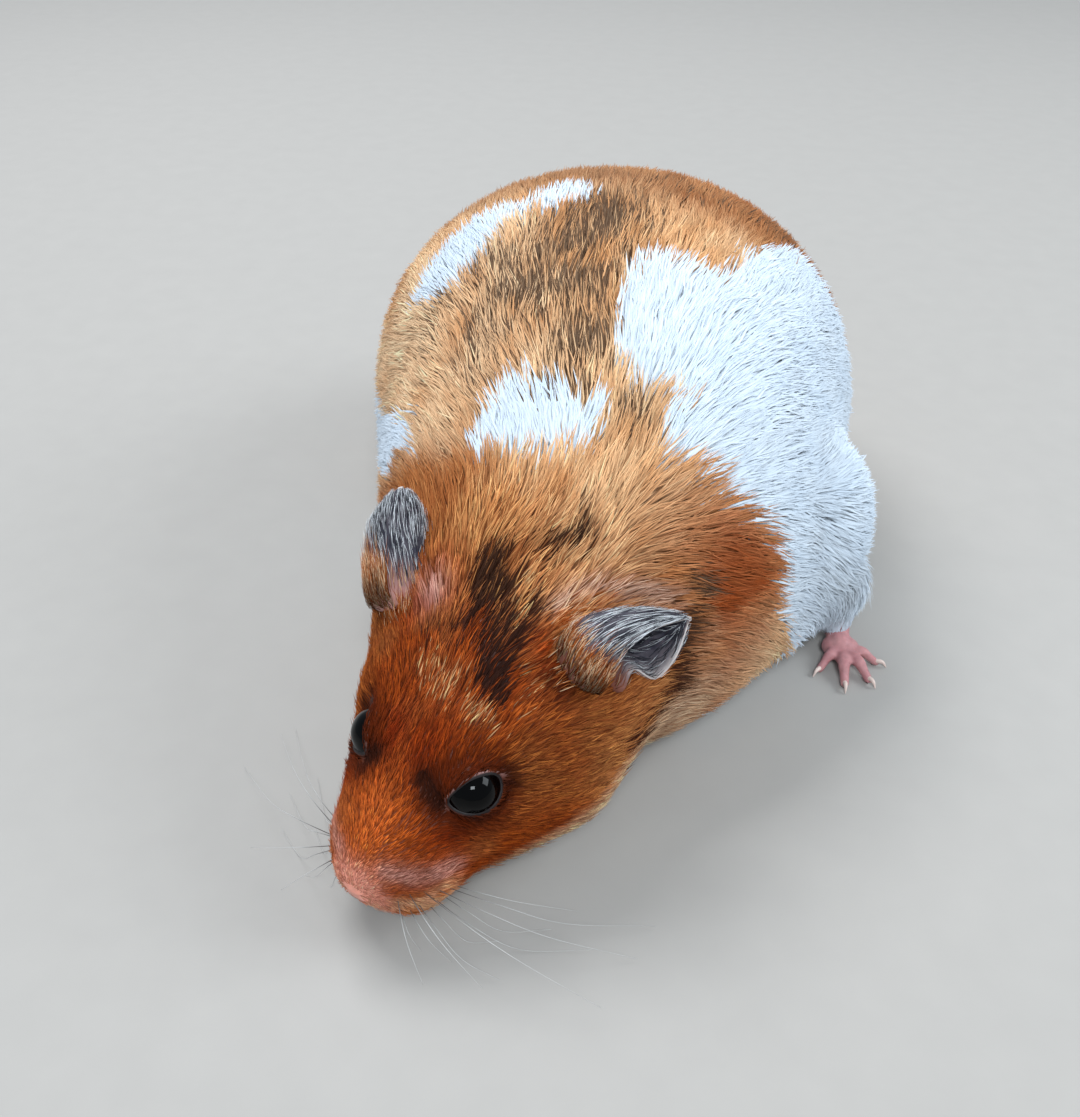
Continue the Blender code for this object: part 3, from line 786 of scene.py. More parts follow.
RIGHT_EAR_ROWS = [
    [(-9.0, 19.4, 4.9), (-11.0, 20.8, 8.3), (-13.2, 22.2, 12.2), (-14.5, 22.7, 15.1), (-15.6, 21.9, 17.5)],
    [(-9.2, 15.6, 6.8), (-11.6, 17.6, 10.6), (-13.5, 19.7, 13.9), (-14.6, 21.2, 16.2), (-15.7, 21.9, 17.6)],
    [(-12.5, 13.2, 7.4), (-14.6, 15.9, 11.2), (-16.1, 18.3, 14.2), (-16.5, 20.2, 16.3), (-15.9, 21.7, 17.5)],
    [(-15.0, 12.8, 6.5), (-17.3, 15.9, 9.8), (-18.2, 18.2, 12.7), (-17.7, 19.9, 14.9), (-16.2, 21.2, 17.0)],
    [(-16.9, 13.2, 4.5), (-19.4, 16.5, 8.2), (-20.1, 18.8, 11.3), (-18.8, 19.8, 13.8), (-16.7, 21.1, 16.5)]]
EAR_ROWS = {"left_ear": LEFT_EAR_ROWS, "right_ear": RIGHT_EAR_ROWS}
EAR_SINK = {"left_ear": (-1.6, 0.6, -1.8), "right_ear": (1.6, 0.6, -1.8)}
EAR_HALF = 0.24
EAR_COLUMNS = 30
EAR_LENGTHS = 26


def ear_sheet(name):
    """The ear's middle surface as a grid (lengths, columns, 3) in the row frame."""
    rows = np.array(EAR_ROWS[name], float)
    middle_of_base = rows[:, 0].mean(axis=0)
    base = mix(rows[:, :1], middle_of_base, np.full((len(rows), 1), 0.35)) + EAR_SINK[name]
    rows = np.concatenate([base, rows], axis=1)
    across = np.linspace(0, len(rows) - 1, EAR_COLUMNS)
    along = np.linspace(0, rows.shape[1] - 1, EAR_LENGTHS)
    grid = np.stack([spline(rows[:, k], across) for k in range(rows.shape[1])])
    sheet = np.stack([spline(grid[:, i], along) for i in range(EAR_COLUMNS)], axis=1)
    return from_head(sheet)


def sheet_normals(sheet):
    along = np.gradient(sheet, axis=0)
    across = np.gradient(sheet, axis=1)
    return unit(np.cross(across, along))


def ear_shell(sheet):
    """A closed thin shell about a sheet, as (points, triangles)."""
    rows, columns = sheet.shape[:2]
    normals = sheet_normals(sheet)
    edge = np.minimum(np.arange(columns), np.arange(columns)[::-1])
    thin = EAR_HALF * (0.45 + 0.55 * smooth_step(0, 3, edge))[None, :, None]
    thin = thin * np.linspace(1.5, 0.6, rows)[:, None, None]
    points = np.vstack([(sheet + normals * thin).reshape(-1, 3), (sheet - normals * thin).reshape(-1, 3)])
    count = rows * columns
    faces = []
    for j in range(rows - 1):
        for i in range(columns - 1):
            a = j * columns + i
            faces.append([a, a + 1, a + 1 + columns, a + columns])
            faces.append([a + count, a + columns + count, a + 1 + columns + count, a + 1 + count])
    rim = [j * columns for j in range(rows)]
    rim += [(rows - 1) * columns + i for i in range(1, columns)]
    rim += [j * columns + columns - 1 for j in range(rows - 2, -1, -1)]
    rim += range(columns - 2, 0, -1)
    for a, b in zip(rim, rim[1:] + rim[:1]):
        faces.append([a, b, b + count, a + count])
    return points, np.array([corner for a, b, c, d in faces for corner in ([a, b, c], [a, c, d])])


# Each foot: heading in degrees, heel, palm (length, width, height)
FORE_PALM = (3.2, 2.9, 2.1)
HIND_PALM = (11.5, 3.0, 2.6)
FOOT_FORMS = {
    "left_forefoot": (12.0, (40.6, -6.6), FORE_PALM),
    "right_forefoot": (-14.0, (-14.2, -16.0), FORE_PALM),
    "left_hindfoot": (10.0, (26.0, 36.0), HIND_PALM),
    "right_hindfoot": (-10.0, (-24.0, 36.0), HIND_PALM)}
# Each digit: degrees from straight ahead, distance of its root, length, radius at root and at tip
FORE_DIGITS = [
    (-46, 1.2, 4.0, 0.85, 0.6), (-8, 1.8, 4.9, 0.95, 0.65), (24, 1.8, 4.7, 0.95, 0.65),
    (62, 1.2, 4.0, 0.85, 0.6)]
HIND_DIGITS = [
    (-38, 0.6, 4.4, 0.8, 0.6), (-15, 1.8, 5.8, 0.95, 0.65), (0, 2.2, 6.2, 0.95, 0.65),
    (15, 1.8, 5.8, 0.95, 0.65), (40, 0.2, 4.2, 0.8, 0.6)]
CLAW_RADII = [0.36, 0.28, 0.07]


def flat_turn(degrees, v):
    a = math.radians(degrees)
    return np.array([v[0] * math.cos(a) - v[1] * math.sin(a), v[0] * math.sin(a) + v[1] * math.cos(a), v[2]])


def build_digit(front, ahead, spread, root, reach, thick, thin):
    """(forms, claw) of one digit."""
    way = flat_turn(spread, ahead)
    start = front + way * root
    start[2] = thick + 0.5
    knuckle = start + way * reach * 0.48 + (0, 0, 0.42)
    pad = start + way * reach
    pad[2] = thin - 0.02
    joint = (knuckle + pad) / 2 + (0, 0, 0.05)
    forms = [tube([start, knuckle, joint, pad], [thick * 1.08, thick * 0.98, thick * 0.78, thin * 1.02], 12),
             egg(pad + way * 0.15 - (0, 0, 0.1), (thin * 1.08, thin * 1.08, thin * 0.85), 12, 8)]
    tip = pad + way * 1.75
    tip[2] = 0.16
    bend = pad + way * 1.05 + (0, 0, 0.32)
    return forms, tube([pad + (0, 0, 0.15), bend, tip], CLAW_RADII, 10)


def build_foot(name):
    """((points, triangles) of the foot's skin, its claws), fitted to the foot's box."""
    heading, spot, (length, width, height) = FOOT_FORMS[name]
    base = np.array([spot[0], spot[1], 0.0])
    ahead = flat_turn(heading, (0.0, -1.0, 0.0))
    ankle = base + (0, 0, 2.5)
    front = base + ahead * length + (0, 0, 1.4)
    forms = [tube([ankle, (ankle + front) / 2, front], [height, width * 0.55, width * 0.6], 16),
             egg(front, (width * 0.98, width * 0.84, 1.45))]
    claws = []
    for digit in FORE_DIGITS if "fore" in name else HIND_DIGITS:
        digit_forms, claw = build_digit(front, ahead, *digit)
        forms += digit_forms
        claws.append(claw)
    points, faces = remeshed(*joined(forms), FOOT_VOXEL)
    points = relax(points, faces, 3, 0.5)
    points[:, 2] = np.maximum(points[:, 2], 0.0)
    low, high = box(name)
    everything = np.vstack([points] + [claw_points for claw_points, _ in claws])
    shift = (low + high) / 2 - (everything.min(axis=0) + everything.max(axis=0)) / 2
    shift[2] = 0.0
    return (points + shift, faces), [(claw_points + shift, claw_faces) for claw_points, claw_faces in claws]


def tint(mesh, colours):
    """Point colours under the name `tint`."""
    layer = mesh.color_attributes.new("tint", "FLOAT_COLOR", "POINT")
    data = np.ones((len(colours), 4), np.float32)
    data[:, :3] = colours
    layer.data.foreach_set("color", data.ravel())


def body_skin_colour(points):
    """Coat-coloured skin, bare at nose, lips, lids, tail and ankles."""
    local = to_head(points)
    _, colour = paint(points, np.full(len(points), 0.6), np.zeros((len(points), 2)))
    nose = smooth_step(-12.2, -14.0, local[:, 1]) * smooth_step(-9.2, -7.6, local[:, 2])
    ankles = [(FOOT_PINK, 1 - smooth_step(4.0, 7.0, from_heel(points, name))) for name in FEET]
    colour = layered(colour, [
        (NOSE_PINK, nose),
        (SKIN_PINK, 0.8 * near_path(np.abs(local) * (1, -1, -1), MOUTH + CLEFT, 1.1)),
        (FOOT_PINK, on_tail(points, 1.5, 4.0, TAIL_TOP))] + ankles)
    for side, pink in LID_PINKS.items():
        gap, distance = past_lid(points, side)
        near = distance < EYE_RADIUS + 1.5
        high = smooth_step(-0.3, 1.2, (points - EYES[side][0]) @ EYES[side][3])
        colour = mix(colour, LID_PINK, near * high * np.exp(-((gap - 0.40) / 0.22) ** 2) * pink)
        colour = mix(colour, RIM_GREY, near * smooth_step(0.26, 0.10, gap))
    return colour


def ear_colour(name, sheet):
    """Colour over both faces of an ear: dark grey with a pale rim and a pink base."""
    rows, columns = sheet.shape[:2]
    along = np.repeat(np.linspace(-0.2, 1.0, rows)[:, None], columns, axis=1)
    across = np.linspace(0, 1, columns)[None, :]
    rim = np.maximum(np.exp(-across / 0.035), np.exp(-(1 - across) / 0.035))
    rim = np.maximum(rim, smooth_step(0.96, 1.0, along))
    pink = 1 - smooth_step(0.02, 0.34, along)
    speckle = noise(sheet.reshape(-1, 3), 0.9, 21).reshape(rows, columns)
    colour = mix(EAR_GREY, EAR_SPECK, 0.4 + 0.5 * speckle)
    colour = mix(colour, SKIN_PINK if name == "right_ear" else EAR_FLESH, pink * 0.85)
    if name == "left_ear":
        colour = mix(colour, SKIN_PINK, pink * smooth_step(0.16, 0.05, across) * 0.8)
    colour = mix(colour, EAR_RIM, 0.85 * rim * smooth_step(0.1, 0.4, along))
    return np.vstack([colour.reshape(-1, 3)] * 2)


body_points, body_faces = build_body()
body_spots = body_points[body_faces].mean(axis=1)
ears = {name: ear_sheet(name) for name in EARS}
feet = {name: build_foot(name) for name in FEET}


def build_skin():
    shells = [(body_points, body_faces)] + [ear_shell(ears[name]) for name in EARS]
    colours = [body_skin_colour(body_points)] + [ear_colour(name, ears[name]) for name in EARS]
    for name in FEET:
        shell = feet[name][0]
        shells.append(shell)
        colours.append(mix(FOOT_PINK, FOOT_PALE, 0.5 + 0.5 * noise(shell[0], 1.4, 31)))
    made = make_object("skin", *joined(shells))
    tint(made.data, np.vstack(colours))
    return made


# ---------------------------------------------------------------- materials

BUMP_DEPTH = 0.0001


def set_inputs(node, values):
    """Values for a node's inputs, by the inputs' names."""
    for key, value in values.items():
        node.inputs[key].default_value = value


def new_material(name, inputs):
    """(material, node tree, shader) with the shader's inputs set."""
    made = bpy.data.materials.new(name)
    made.use_nodes = True
    shader = made.node_tree.nodes["Principled BSDF"]
    set_inputs(shader, inputs)
    return made, made.node_tree, shader


def add(tree, kind, inputs=None, **values):
    """A new node with the given inputs and settings."""
    node = tree.nodes.new(kind)
    for key, value in values.items():
        setattr(node, key, value)
    set_inputs(node, inputs or {})
    return node


def bumped(tree, shader, source, strength):
    bump = add(tree, "ShaderNodeBump", {"Strength": strength, "Distance": BUMP_DEPTH})
    tree.links.new(source, bump.inputs["Height"])
    tree.links.new(bump.outputs["Normal"], shader.inputs["Normal"])


def fine_noise(tree, size, detail=3.0):
    """Noise with features about `size` mm across, over the object's own coordinates."""
    place = add(tree, "ShaderNodeTexCoord")
    texture = add(tree, "ShaderNodeTexNoise", {"Scale": 1.0 / (size * MM), "Detail": detail})
    tree.links.new(place.outputs["Object"], texture.inputs["Vector"])
    return texture


def toned(tree, shader, texture, span):
    """The shader's colour from a scaling node, whose scale is the texture mapped by `span`."""
    ramp = add(tree, "ShaderNodeMapRange", span)
    scale = add(tree, "ShaderNodeVectorMath", operation="SCALE")
    tree.links.new(texture.outputs[0], ramp.inputs["Value"])
    tree.links.new(ramp.outputs["Result"], scale.inputs["Scale"])
    tree.links.new(scale.outputs["Vector"], shader.inputs["Base Color"])
    return scale


def varied_tint(tree, shader, texture, low, high):
    """The painted colour, darkened and lightened by a texture."""
    painted = add(tree, "ShaderNodeAttribute", attribute_name="tint")
    scale = toned(tree, shader, texture, {"From Min": 0.3, "From Max": 0.7, "To Min": low, "To Max": high})
    tree.links.new(painted.outputs["Color"], scale.inputs[0])


def skin_material():
    made, tree, shader = new_material("skin_material", {
        "Roughness": 0.55, "Specular IOR Level": 0.35, "Subsurface Weight": 0.12,
        "Subsurface Radius": (1.0, 0.4, 0.25), "Subsurface Scale": 0.0012})
    varied_tint(tree, shader, fine_noise(tree, 0.8), 0.88, 1.12)
    bumped(tree, shader, fine_noise(tree, 0.25, 4.0).outputs[0], 0.35)
    return made


def coat_material():
    made, tree, shader = new_material("coat_material", {"Roughness": 0.65, "Specular IOR Level": 0.04})
    where = add(tree, "ShaderNodeUVMap", uv_map="Strand")
    stretch = add(tree, "ShaderNodeMapping", {"Scale": (5.0, 1.2, 1.0)})
    texture = add(tree, "ShaderNodeTexNoise", {"Scale": 1.0, "Detail": 2.0})
    tree.links.new(where.outputs["UV"], stretch.inputs["Vector"])
    tree.links.new(stretch.outputs["Vector"], texture.inputs["Vector"])
    varied_tint(tree, shader, texture, 0.82, 1.16)
    bumped(tree, shader, texture.outputs[0], 0.4)
    return made


def plain_material(name, colour, roughness, specular, grain, low, high):
    """One colour, darkened and lightened between low and high by noise of `grain` mm."""
    made, tree, shader = new_material(name, {"Roughness": roughness, "Specular IOR Level": specular})
    scale = toned(tree, shader, fine_noise(tree, grain), {"To Min": low, "To Max": high})
    scale.inputs[0].default_value = colour
    return made


# ---------------------------------------------------------------- coat

# Tufts along the head and neck: y in head axes, length, half width, tufts in a square millimetre
COAT_BACK = (-15, -12, -8, -2, 6, 14, 24, 36, 50)
COAT_LENGTH = (0.5, 0.9, 1.5, 2.0, 2.5, 3.3, 4.4, 5.6, 6.4)
COAT_WIDTH = (0.045, 0.055, 0.070, 0.080, 0.084, 0.088, 0.094, 0.106, 0.116)
COAT_CROWD = (27, 22, 16.5, 14.5, 12.5, 9.8, 7.2, 5.6, 5.0)

# The lowest that a tuft's centre line comes to the ground
COAT_LOWEST = 0.27


def head_lie(local):
    """The way the head's hair lies: backwards, down over the lips, and away from the eyes."""
    x, back, z = local.T
    aside = smooth_step(1.0, 9.0, np.abs(x))
    way = np.column_stack([np.sign(x) * 0.28 * aside, np.ones(len(x)), -0.22 * smooth_step(3, 12, np.abs(x))])
    way[:, 2] += 0.2 * smooth_step(-9, -13, z)
    lip = smooth_step(-5.5, -8.5, z) * smooth_step(-5.0, -8.0, back)
    way[:, 0] += 0.5 * np.sign(x) * lip
    way[:, 2] -= 1.1 * lip
    for centre, *_ in EYES.values():
        away = local - to_head(centre[None])[0]
        far = np.linalg.norm(away, axis=1)
        way += unit(away) * (0.9 * np.exp(-((far - 2.5) / 3.2) ** 2))[:, None]
    return turned(way)


def lie(points, normals):
    """The way the hair lies: backwards over head and body, down the flanks and legs."""
    local = to_head(points)
    y, angle = chart(points)
    level = np.zeros(len(points))
    side = np.abs(np.sin(np.radians(angle)))
    rump = smooth_step(36, 62, y)
    body_way = np.column_stack([level, 1.0 - 0.6 * rump, -0.10 - 0.55 * side - 1.3 * rump])
    body_way[:, 0] += 0.10 * np.sign(angle) * smooth_step(20, 60, np.abs(angle))
    way = mix(body_way, head_lie(local), 1 - smooth_step(22, 38, local[:, 1]))
    for name in FEET:
        near = 1 - smooth_step(5.0, 13.0, from_heel(points, name, (1, 1, 0.7)))
        ahead = -0.9 if "fore" in name else -0.2
        way = mix(way, np.column_stack([level, level + ahead * 0.4, level - 1]), near)
    way = unit(way - normals * np.sum(way * normals, axis=1)[:, None])
    ruffle = 6 + 8 * smooth_step(12, 30, local[:, 1])
    swirl = np.radians(17 * noise(points, 6.0, 41) + ruffle * noise(points, 2.2, 42))
    return unit(swung(way, normals, swirl))


def coat_values(points):
    """(length, half width, height of the tips, tufts in a square millimetre) at the points."""
    _, back, z = to_head(points).T
    length, width, crowd = (np.interp(back, COAT_BACK, row) for row in (COAT_LENGTH, COAT_WIDTH, COAT_CROWD))
    height = coat_depth(points) * 1.02 + 0.05
    lip = smooth_step(-6.0, -8.5, z) * smooth_step(-5.0, -8.0, back) * smooth_step(-14.2, -12.5, back)
    length = length + 0.7 * lip
    height = height + 0.15 * lip
    _, angle = chart(points)
    belly = smooth_step(118, 140, np.abs(angle)) * smooth_step(24, 36, back)
    crowd = crowd * (1 - 0.45 * belly)
    length = length * (1 - 0.25 * belly)
    for name in FEET:
        near = 1 - smooth_step(3.0, 15.0 if "fore" in name else 10.0, from_heel(points, name))
        length = length * (1 - 0.72 * near)
        width = width * (1 - 0.55 * near)
        crowd = crowd * (1 + 2.2 * near)
    tail = on_tail(points, 0.0, 3.0, TAIL_TOP)
    return length * (1 - 0.8 * tail), width * (1 - 0.5 * tail), height, crowd


class Surface:
    """Closest points and smooth normals on a triangle mesh."""

    def __init__(self, points, faces):
        self.points, self.faces = points, faces
        self.normals = point_normals(points, faces)
        self.tree = BVHTree.FromPolygons(points.tolist(), faces.tolist())

    def nearest(self, spots):
        found = [self.tree.find_nearest(spot) for spot in spots.tolist()]
        where = np.array([hit[0][:] for hit in found])
        face = np.array([hit[2] for hit in found])
        return where, self.normal_at(where, face)

    def normal_at(self, where, face):
        a, b, c = (self.points[self.faces[face, k]] for k in range(3))
        flat = np.cross(b - a, c - a)
        area = np.maximum(np.sum(flat * flat, axis=1), 1e-12)
        u = np.sum(np.cross(b - where, c - where) * flat, axis=1) / area
        v = np.sum(np.cross(c - where, a - where) * flat, axis=1) / area
        w = 1 - u - v
        corners = [self.normals[self.faces[face, k]] for k in range(3)]
        return unit(corners[0] * u[:, None] + corners[1] * v[:, None] + corners[2] * w[:, None])


def spread_order(spots):
    """An order of the spots in which neighbours stay close (Morton order at 1 mm)."""
    cell = np.clip((spots - spots.min(axis=0)).astype(np.int64), 0, 255)
    code = np.zeros(len(spots), np.int64)
    for bit in range(8):
        for axis in range(3):
            code |= ((cell[:, axis] >> bit) & 1) << (3 * bit + axis)
    return np.argsort(code, kind="stable")


def scatter(points, faces, weight, seed):
    """Evenly spread spots on the triangles, `weight` for each mm²: (spots, triangle numbers)."""
    rng = np.random.default_rng(seed)
    area = np.linalg.norm(triangle_normals(points, faces), axis=1) / 2
    order = spread_order(points[faces].mean(axis=1))
    running = np.cumsum((area * weight)[order])
    count = int(running[-1])
    picks = np.searchsorted(running, (np.arange(count) + rng.random(count)) * running[-1] / count)
    face = order[np.clip(picks, 0, len(order) - 1)]
    u, v = rng.random(count), rng.random(count)
    over = u + v > 1
    u[over], v[over] = 1 - u[over], 1 - v[over]
    a, b, c = (points[faces[face, k]] for k in range(3))
    return a + (b - a) * u[:, None] + (c - a) * v[:, None], face


def lat_long(spots, centre, stretch):
    """A place for each spot in the unit square: longitude and latitude about the body's long axis."""
    d = (spots - centre) / np.asarray(stretch)
    turn = np.arctan2(d[:, 0], d[:, 2]) / (2 * math.pi) + 0.5
    tilt = np.arctan2(d[:, 1], np.hypot(d[:, 0], d[:, 2])) / math.pi + 0.5
    place = np.column_stack([turn, tilt])
    low, high = place.min(axis=0), place.max(axis=0)
    return 0.01 + 0.98 * (place - low) / np.maximum(high - low, 1e-6)


# Rings of a tuft below its tip, half the size of its patch on the map, and where its middle colour lies
RINGS = 2
PATCH = 0.0015
MIDDLE = 0.45

# How single pale hairs (on the body, on the face) and dark ones differ from the painted colour
PALE_HAIR = (1.55, 1.95, 2.20)
GOLD_HAIR = (1.95, 2.35, 2.10)
DARK_HAIR = (0.38, 0.26, 0.20)

# How far the tufts' shading turns to the body's
SOFTNESS = 0.58
WHITE_SOFTNESS = 0.90
FACE_SOFTNESS = 0.45


def tuft_pattern():
    """One tuft's faces, and the place of each corner: round it from -1 to 1, along it from 0 to 1."""
    faces, corners = [], []
    for k in range(RINGS - 1):
        a, b = 3 * k, 3 * k + 3
        faces += [(a + 1, b + 1, b + 2, a + 2), (a + 2, b + 2, b, a), (a, b, b + 1, a + 1)]
        low, high = k / RINGS, (k + 1) / RINGS
        corners += [((first, low), (first, high), (second, high), (second, low))
                    for first, second in ((0.33, -0.33), (-0.33, -1), (1, 0.33))]
    a, low, tip = 3 * (RINGS - 1), (RINGS - 1) / RINGS, 3 * RINGS
    faces += [(a + 1, tip, a + 2), (a + 2, tip, a), (a, tip, a + 1), (0, 1, 2)]
    corners += [((0.33, low), (0, 1), (-0.33, low)), ((-0.33, low), (-0.6, 1), (-1, low)),
                ((1, low), (0.6, 1), (0.33, low)), ((-1, 0), (-0.33, 0), (0.33, 0))]
    return faces, np.array([c for face in corners for c in face])


def tuft_mesh(name, points, faces):
    """A mesh of tufts (tufts, points of one, 3), each with the given faces."""
    count, size = points.shape[:2]
    flat = np.array([v for face in faces for v in face])
    loops = (flat[None, :] + (np.arange(count) * size)[:, None]).ravel()
    loop_total = np.tile([len(face) for face in faces], count)
    loop_start = np.concatenate([[0], np.cumsum(loop_total)[:-1]])
    mesh = bpy.data.meshes.new(name)
    mesh.vertices.add(count * size)
    mesh.vertices.foreach_set("co", (points.reshape(-1, 3) * MM).astype(np.float32).ravel())
    mesh.loops.add(len(loops))
    mesh.loops.foreach_set("vertex_index", loops.astype(np.int32))
    mesh.polygons.add(len(loop_start))
    mesh.polygons.foreach_set("loop_start", loop_start.astype(np.int32))
    mesh.update(calc_edges=True)
    mesh.shade_smooth()
    return mesh


def tuft_object(name, centre, up, half, tips, mids, roots, places, seed):
    """One mesh of closed three-sided tufts.

    centre is (tufts, RINGS + 1, 3) with the tip last, up and half hold a normal and half width for each ring.
    """
    count = len(centre)
    way = unit(np.gradient(centre, axis=1))[:, :-1]
    side = unit(np.cross(way, up))
    left = centre[:, :-1] - side * half[..., None]
    right = centre[:, :-1] + side * half[..., None]
    top = centre[:, :-1] + up * (half * 0.7)[..., None]
    ring_points = np.stack([left, right, top], axis=2).reshape(count, RINGS * 3, 3)
    faces, uv = tuft_pattern()
    mesh = tuft_mesh(name, np.concatenate([ring_points, centre[:, -1:]], axis=1), faces)
    bake = mesh.uv_layers.new(name="OFBake")
    spread = np.column_stack([uv[:, 0], uv[:, 1] * 2 - 1]) * PATCH
    bake.data.foreach_set("uv", (places[:, None] + spread[None]).astype(np.float32).ravel())
    strand = mesh.uv_layers.new(name="Strand")
    offset = np.random.default_rng(seed).random((count, 1, 2)) * 200
    strand.data.foreach_set("uv", (uv[None] + offset).astype(np.float32).ravel())
    shade = np.empty((count, RINGS * 3 + 1, 3))
    for k in range(RINGS):
        t = k / RINGS
        level = mix(roots, mids, t / MIDDLE) if t < MIDDLE else mix(mids, tips, (t - MIDDLE) / (1 - MIDDLE))
        shade[:, 3 * k:3 * k + 3] = level[:, None]
    shade[:, -1] = tips
    tint(mesh, shade.reshape(-1, 3))
    mesh.materials.append(COAT)
    return placed(name, mesh)


def soften(mesh, body_normals, softness):
    """Turns the tufts' shading towards the body's, as light scattered in fur does."""
    own = np.empty(len(mesh.vertices) * 3, np.float32)
    mesh.vertex_normals.foreach_get("vector", own)
    body, share = (np.repeat(row, RINGS * 3 + 1, axis=0) for row in (body_normals, softness))
    mesh.normals_split_custom_set_from_vertices(unit(mix(own.reshape(-1, 3), body, share)))


def grow(surface, spots, normals, values, seed):
    """Centre lines of tufts that follow the surface: (centre, up, half width)."""
    rng = np.random.default_rng(seed)
    length, half, height = values
    count = len(spots)
    length = length * rng.uniform(0.78, 1.22, count)
    height = height * rng.uniform(0.82, 1.10, count)
    height = height + np.minimum(0.45 * height + 0.15, 0.45) * (rng.random(count) < 0.08)
    stray = np.radians(rng.normal(0, 7.0, count))
    here, normal = spots, normals
    centre = np.empty((count, RINGS + 1, 3))
    up = np.empty((count, RINGS + 1, 3))
    step = length / RINGS
    for k in range(RINGS + 1):
        share = k / RINGS
        lift = height * (1 - (1 - share) ** 1.7) - 0.12 * (1 - share) * np.minimum(height, 0.6)
        centre[:, k] = here + normal * lift[:, None]
        up[:, k] = normal
        if k < RINGS:
            way = swung(lie(here, normal), normal, stray + rng.normal(0, 0.05, count))
            here, normal = surface.nearest(here + way * step[:, None])
    taper = np.interp(np.arange(RINGS) / RINGS, (0.0, 0.34, 0.67, 1.0), (0.75, 1.0, 0.72, 0.3))
    return centre, up[:, :-1], half[:, None] * taper[None]


def clump(centre, every, pull, seed):
    """Draws the tips of neighbouring tufts together, about `every` to a lock; gives each tuft's leader."""
    rng = np.random.default_rng(seed)
    tips = centre[:, -1]
    leaders = np.flatnonzero(rng.random(len(tips)) < 1.0 / every)
    tree = KDTree(len(leaders))
    for k, leader in enumerate(leaders.tolist()):
        tree.insert(tips[leader], k)
    tree.balance()
    nearest = leaders[[tree.find(tip)[1] for tip in tips.tolist()]]
    toward = tips[nearest] - tips
    for k in range(1, RINGS + 1):
        centre[:, k] += toward * pull * (k / RINGS) ** 1.6
    return nearest


def clear_of_eyes(centre):
    """False for tufts that would cross an eye's opening."""
    keep = np.ones(len(centre), bool)
    for side in (1, -1):
        for k in range(centre.shape[1]):
            gap, distance = past_lid(centre[:, k], side)
            keep &= ~((distance < EYE_RADIUS + 2.5) & (gap < 0.04))
    return keep


def tuft_colours(local, shown, nearest, seed):
    """(tip, middle, root) colours of tufts at head points `local`, with paler and darker hairs and locks."""
    rng = np.random.default_rng(seed)
    count = len(local)
    chance = rng.random(count)
    fray = rng.normal(0, 0.55, (count, 2))
    tips, roots = paint(shown * 0.6 + shown[nearest] * 0.4, chance, fray)
    tinted = 1.0 - smooth_step(0.45, 0.70, tips[:, 2])
    lit = tinted * smooth_step(0.05, 0.16, tips[:, 0])
    on_face = 1 - smooth_step(8, 26, local[:, 1])
    on_head = 1 - smooth_step(22, 34, local[:, 1])
    muzzle = smooth_step(1, -7, local[:, 1])
    lock = (rng.normal(0, 0.10, count)[nearest] + rng.normal(0, 0.05, count)) * (1 + 0.7 * on_face)
    tips = tips * (1 + lock * (0.25 + 0.75 * tinted))[:, None]
    pick = rng.random(count)
    range_of_tone = (0.39 + 0.59 * on_head) * (1 - 0.45 * muzzle)
    pale_hair = mix([PALE_HAIR], [GOLD_HAIR], on_face)
    tips = mix(tips, tips * pale_hair, range_of_tone * smooth_step(0.60 + 0.06 * on_face, 1.0, pick) * lit)
    tips = mix(tips, tips * DARK_HAIR, range_of_tone * smooth_step(0.36, 0.0, pick) * tinted)
    tips = np.clip(tips, 0.0, 0.93)
    return tips, mix(roots, tips, 0.92 - (0.16 + 0.16 * on_head) * tinted), roots


def coat_piece(surface, name, chosen, area_map, seed, every, pull):
    """The coat over the chosen triangles."""
    crowd = coat_values(body_spots)[3] * chosen
    spots, face = scatter(surface.points, surface.faces, crowd, seed)
    normals = surface.normal_at(spots, face)
    *values, _ = coat_values(spots)
    centre, up, width = grow(surface, spots, normals, values, seed + 1)
    shown = centre[:, 1] * 0.5 + centre[:, -1] * 0.5
    nearest = clump(centre, every, pull, seed + 2)
    local = to_head(spots)
    on_nose = (local[:, 1] < -14.2) & (local[:, 2] > -7.9) & (np.abs(local[:, 0]) < 1.9)
    keep = clear_of_eyes(centre) & ~on_nose
    tips, mids, roots = tuft_colours(local, shown, nearest, seed + 3)
    centre[..., 2] = np.maximum(centre[..., 2], COAT_LOWEST)
    white = smooth_step(0.4, 0.6, tips[:, 2])
    softness = mix([SOFTNESS], [FACE_SOFTNESS], 1 - smooth_step(8, 26, local[:, 1]))[:, 0]
    softness = softness + (WHITE_SOFTNESS - softness) * white
    width = width * (1 + 0.56 * white)[:, None]
    rows = (centre, up, width, tips, mids, roots, lat_long(spots, *area_map))
    made = tuft_object(name, *(row[keep] for row in rows), seed + 4)
    soften(made.data, normals[keep], softness[keep])
    return made


COAT = coat_material()
SKIN = skin_material()

# Centre and stretch of the maps of head and body
HEAD_MAP = (from_head([(0, 8, -5)])[0], (1, 1, 1))
BODY_MAP = (np.array([CHART_X, 12.0, CHART_Z]), (1, 1.6, 1))

# Tufts to a lock, and how far their tips draw together
FACE_LOCKS = (6, 0.3)
CROWN_LOCKS = (7, 0.4)
SHOULDER_LOCKS = (8, 0.34)
BODY_LOCKS = (8, 0.26)


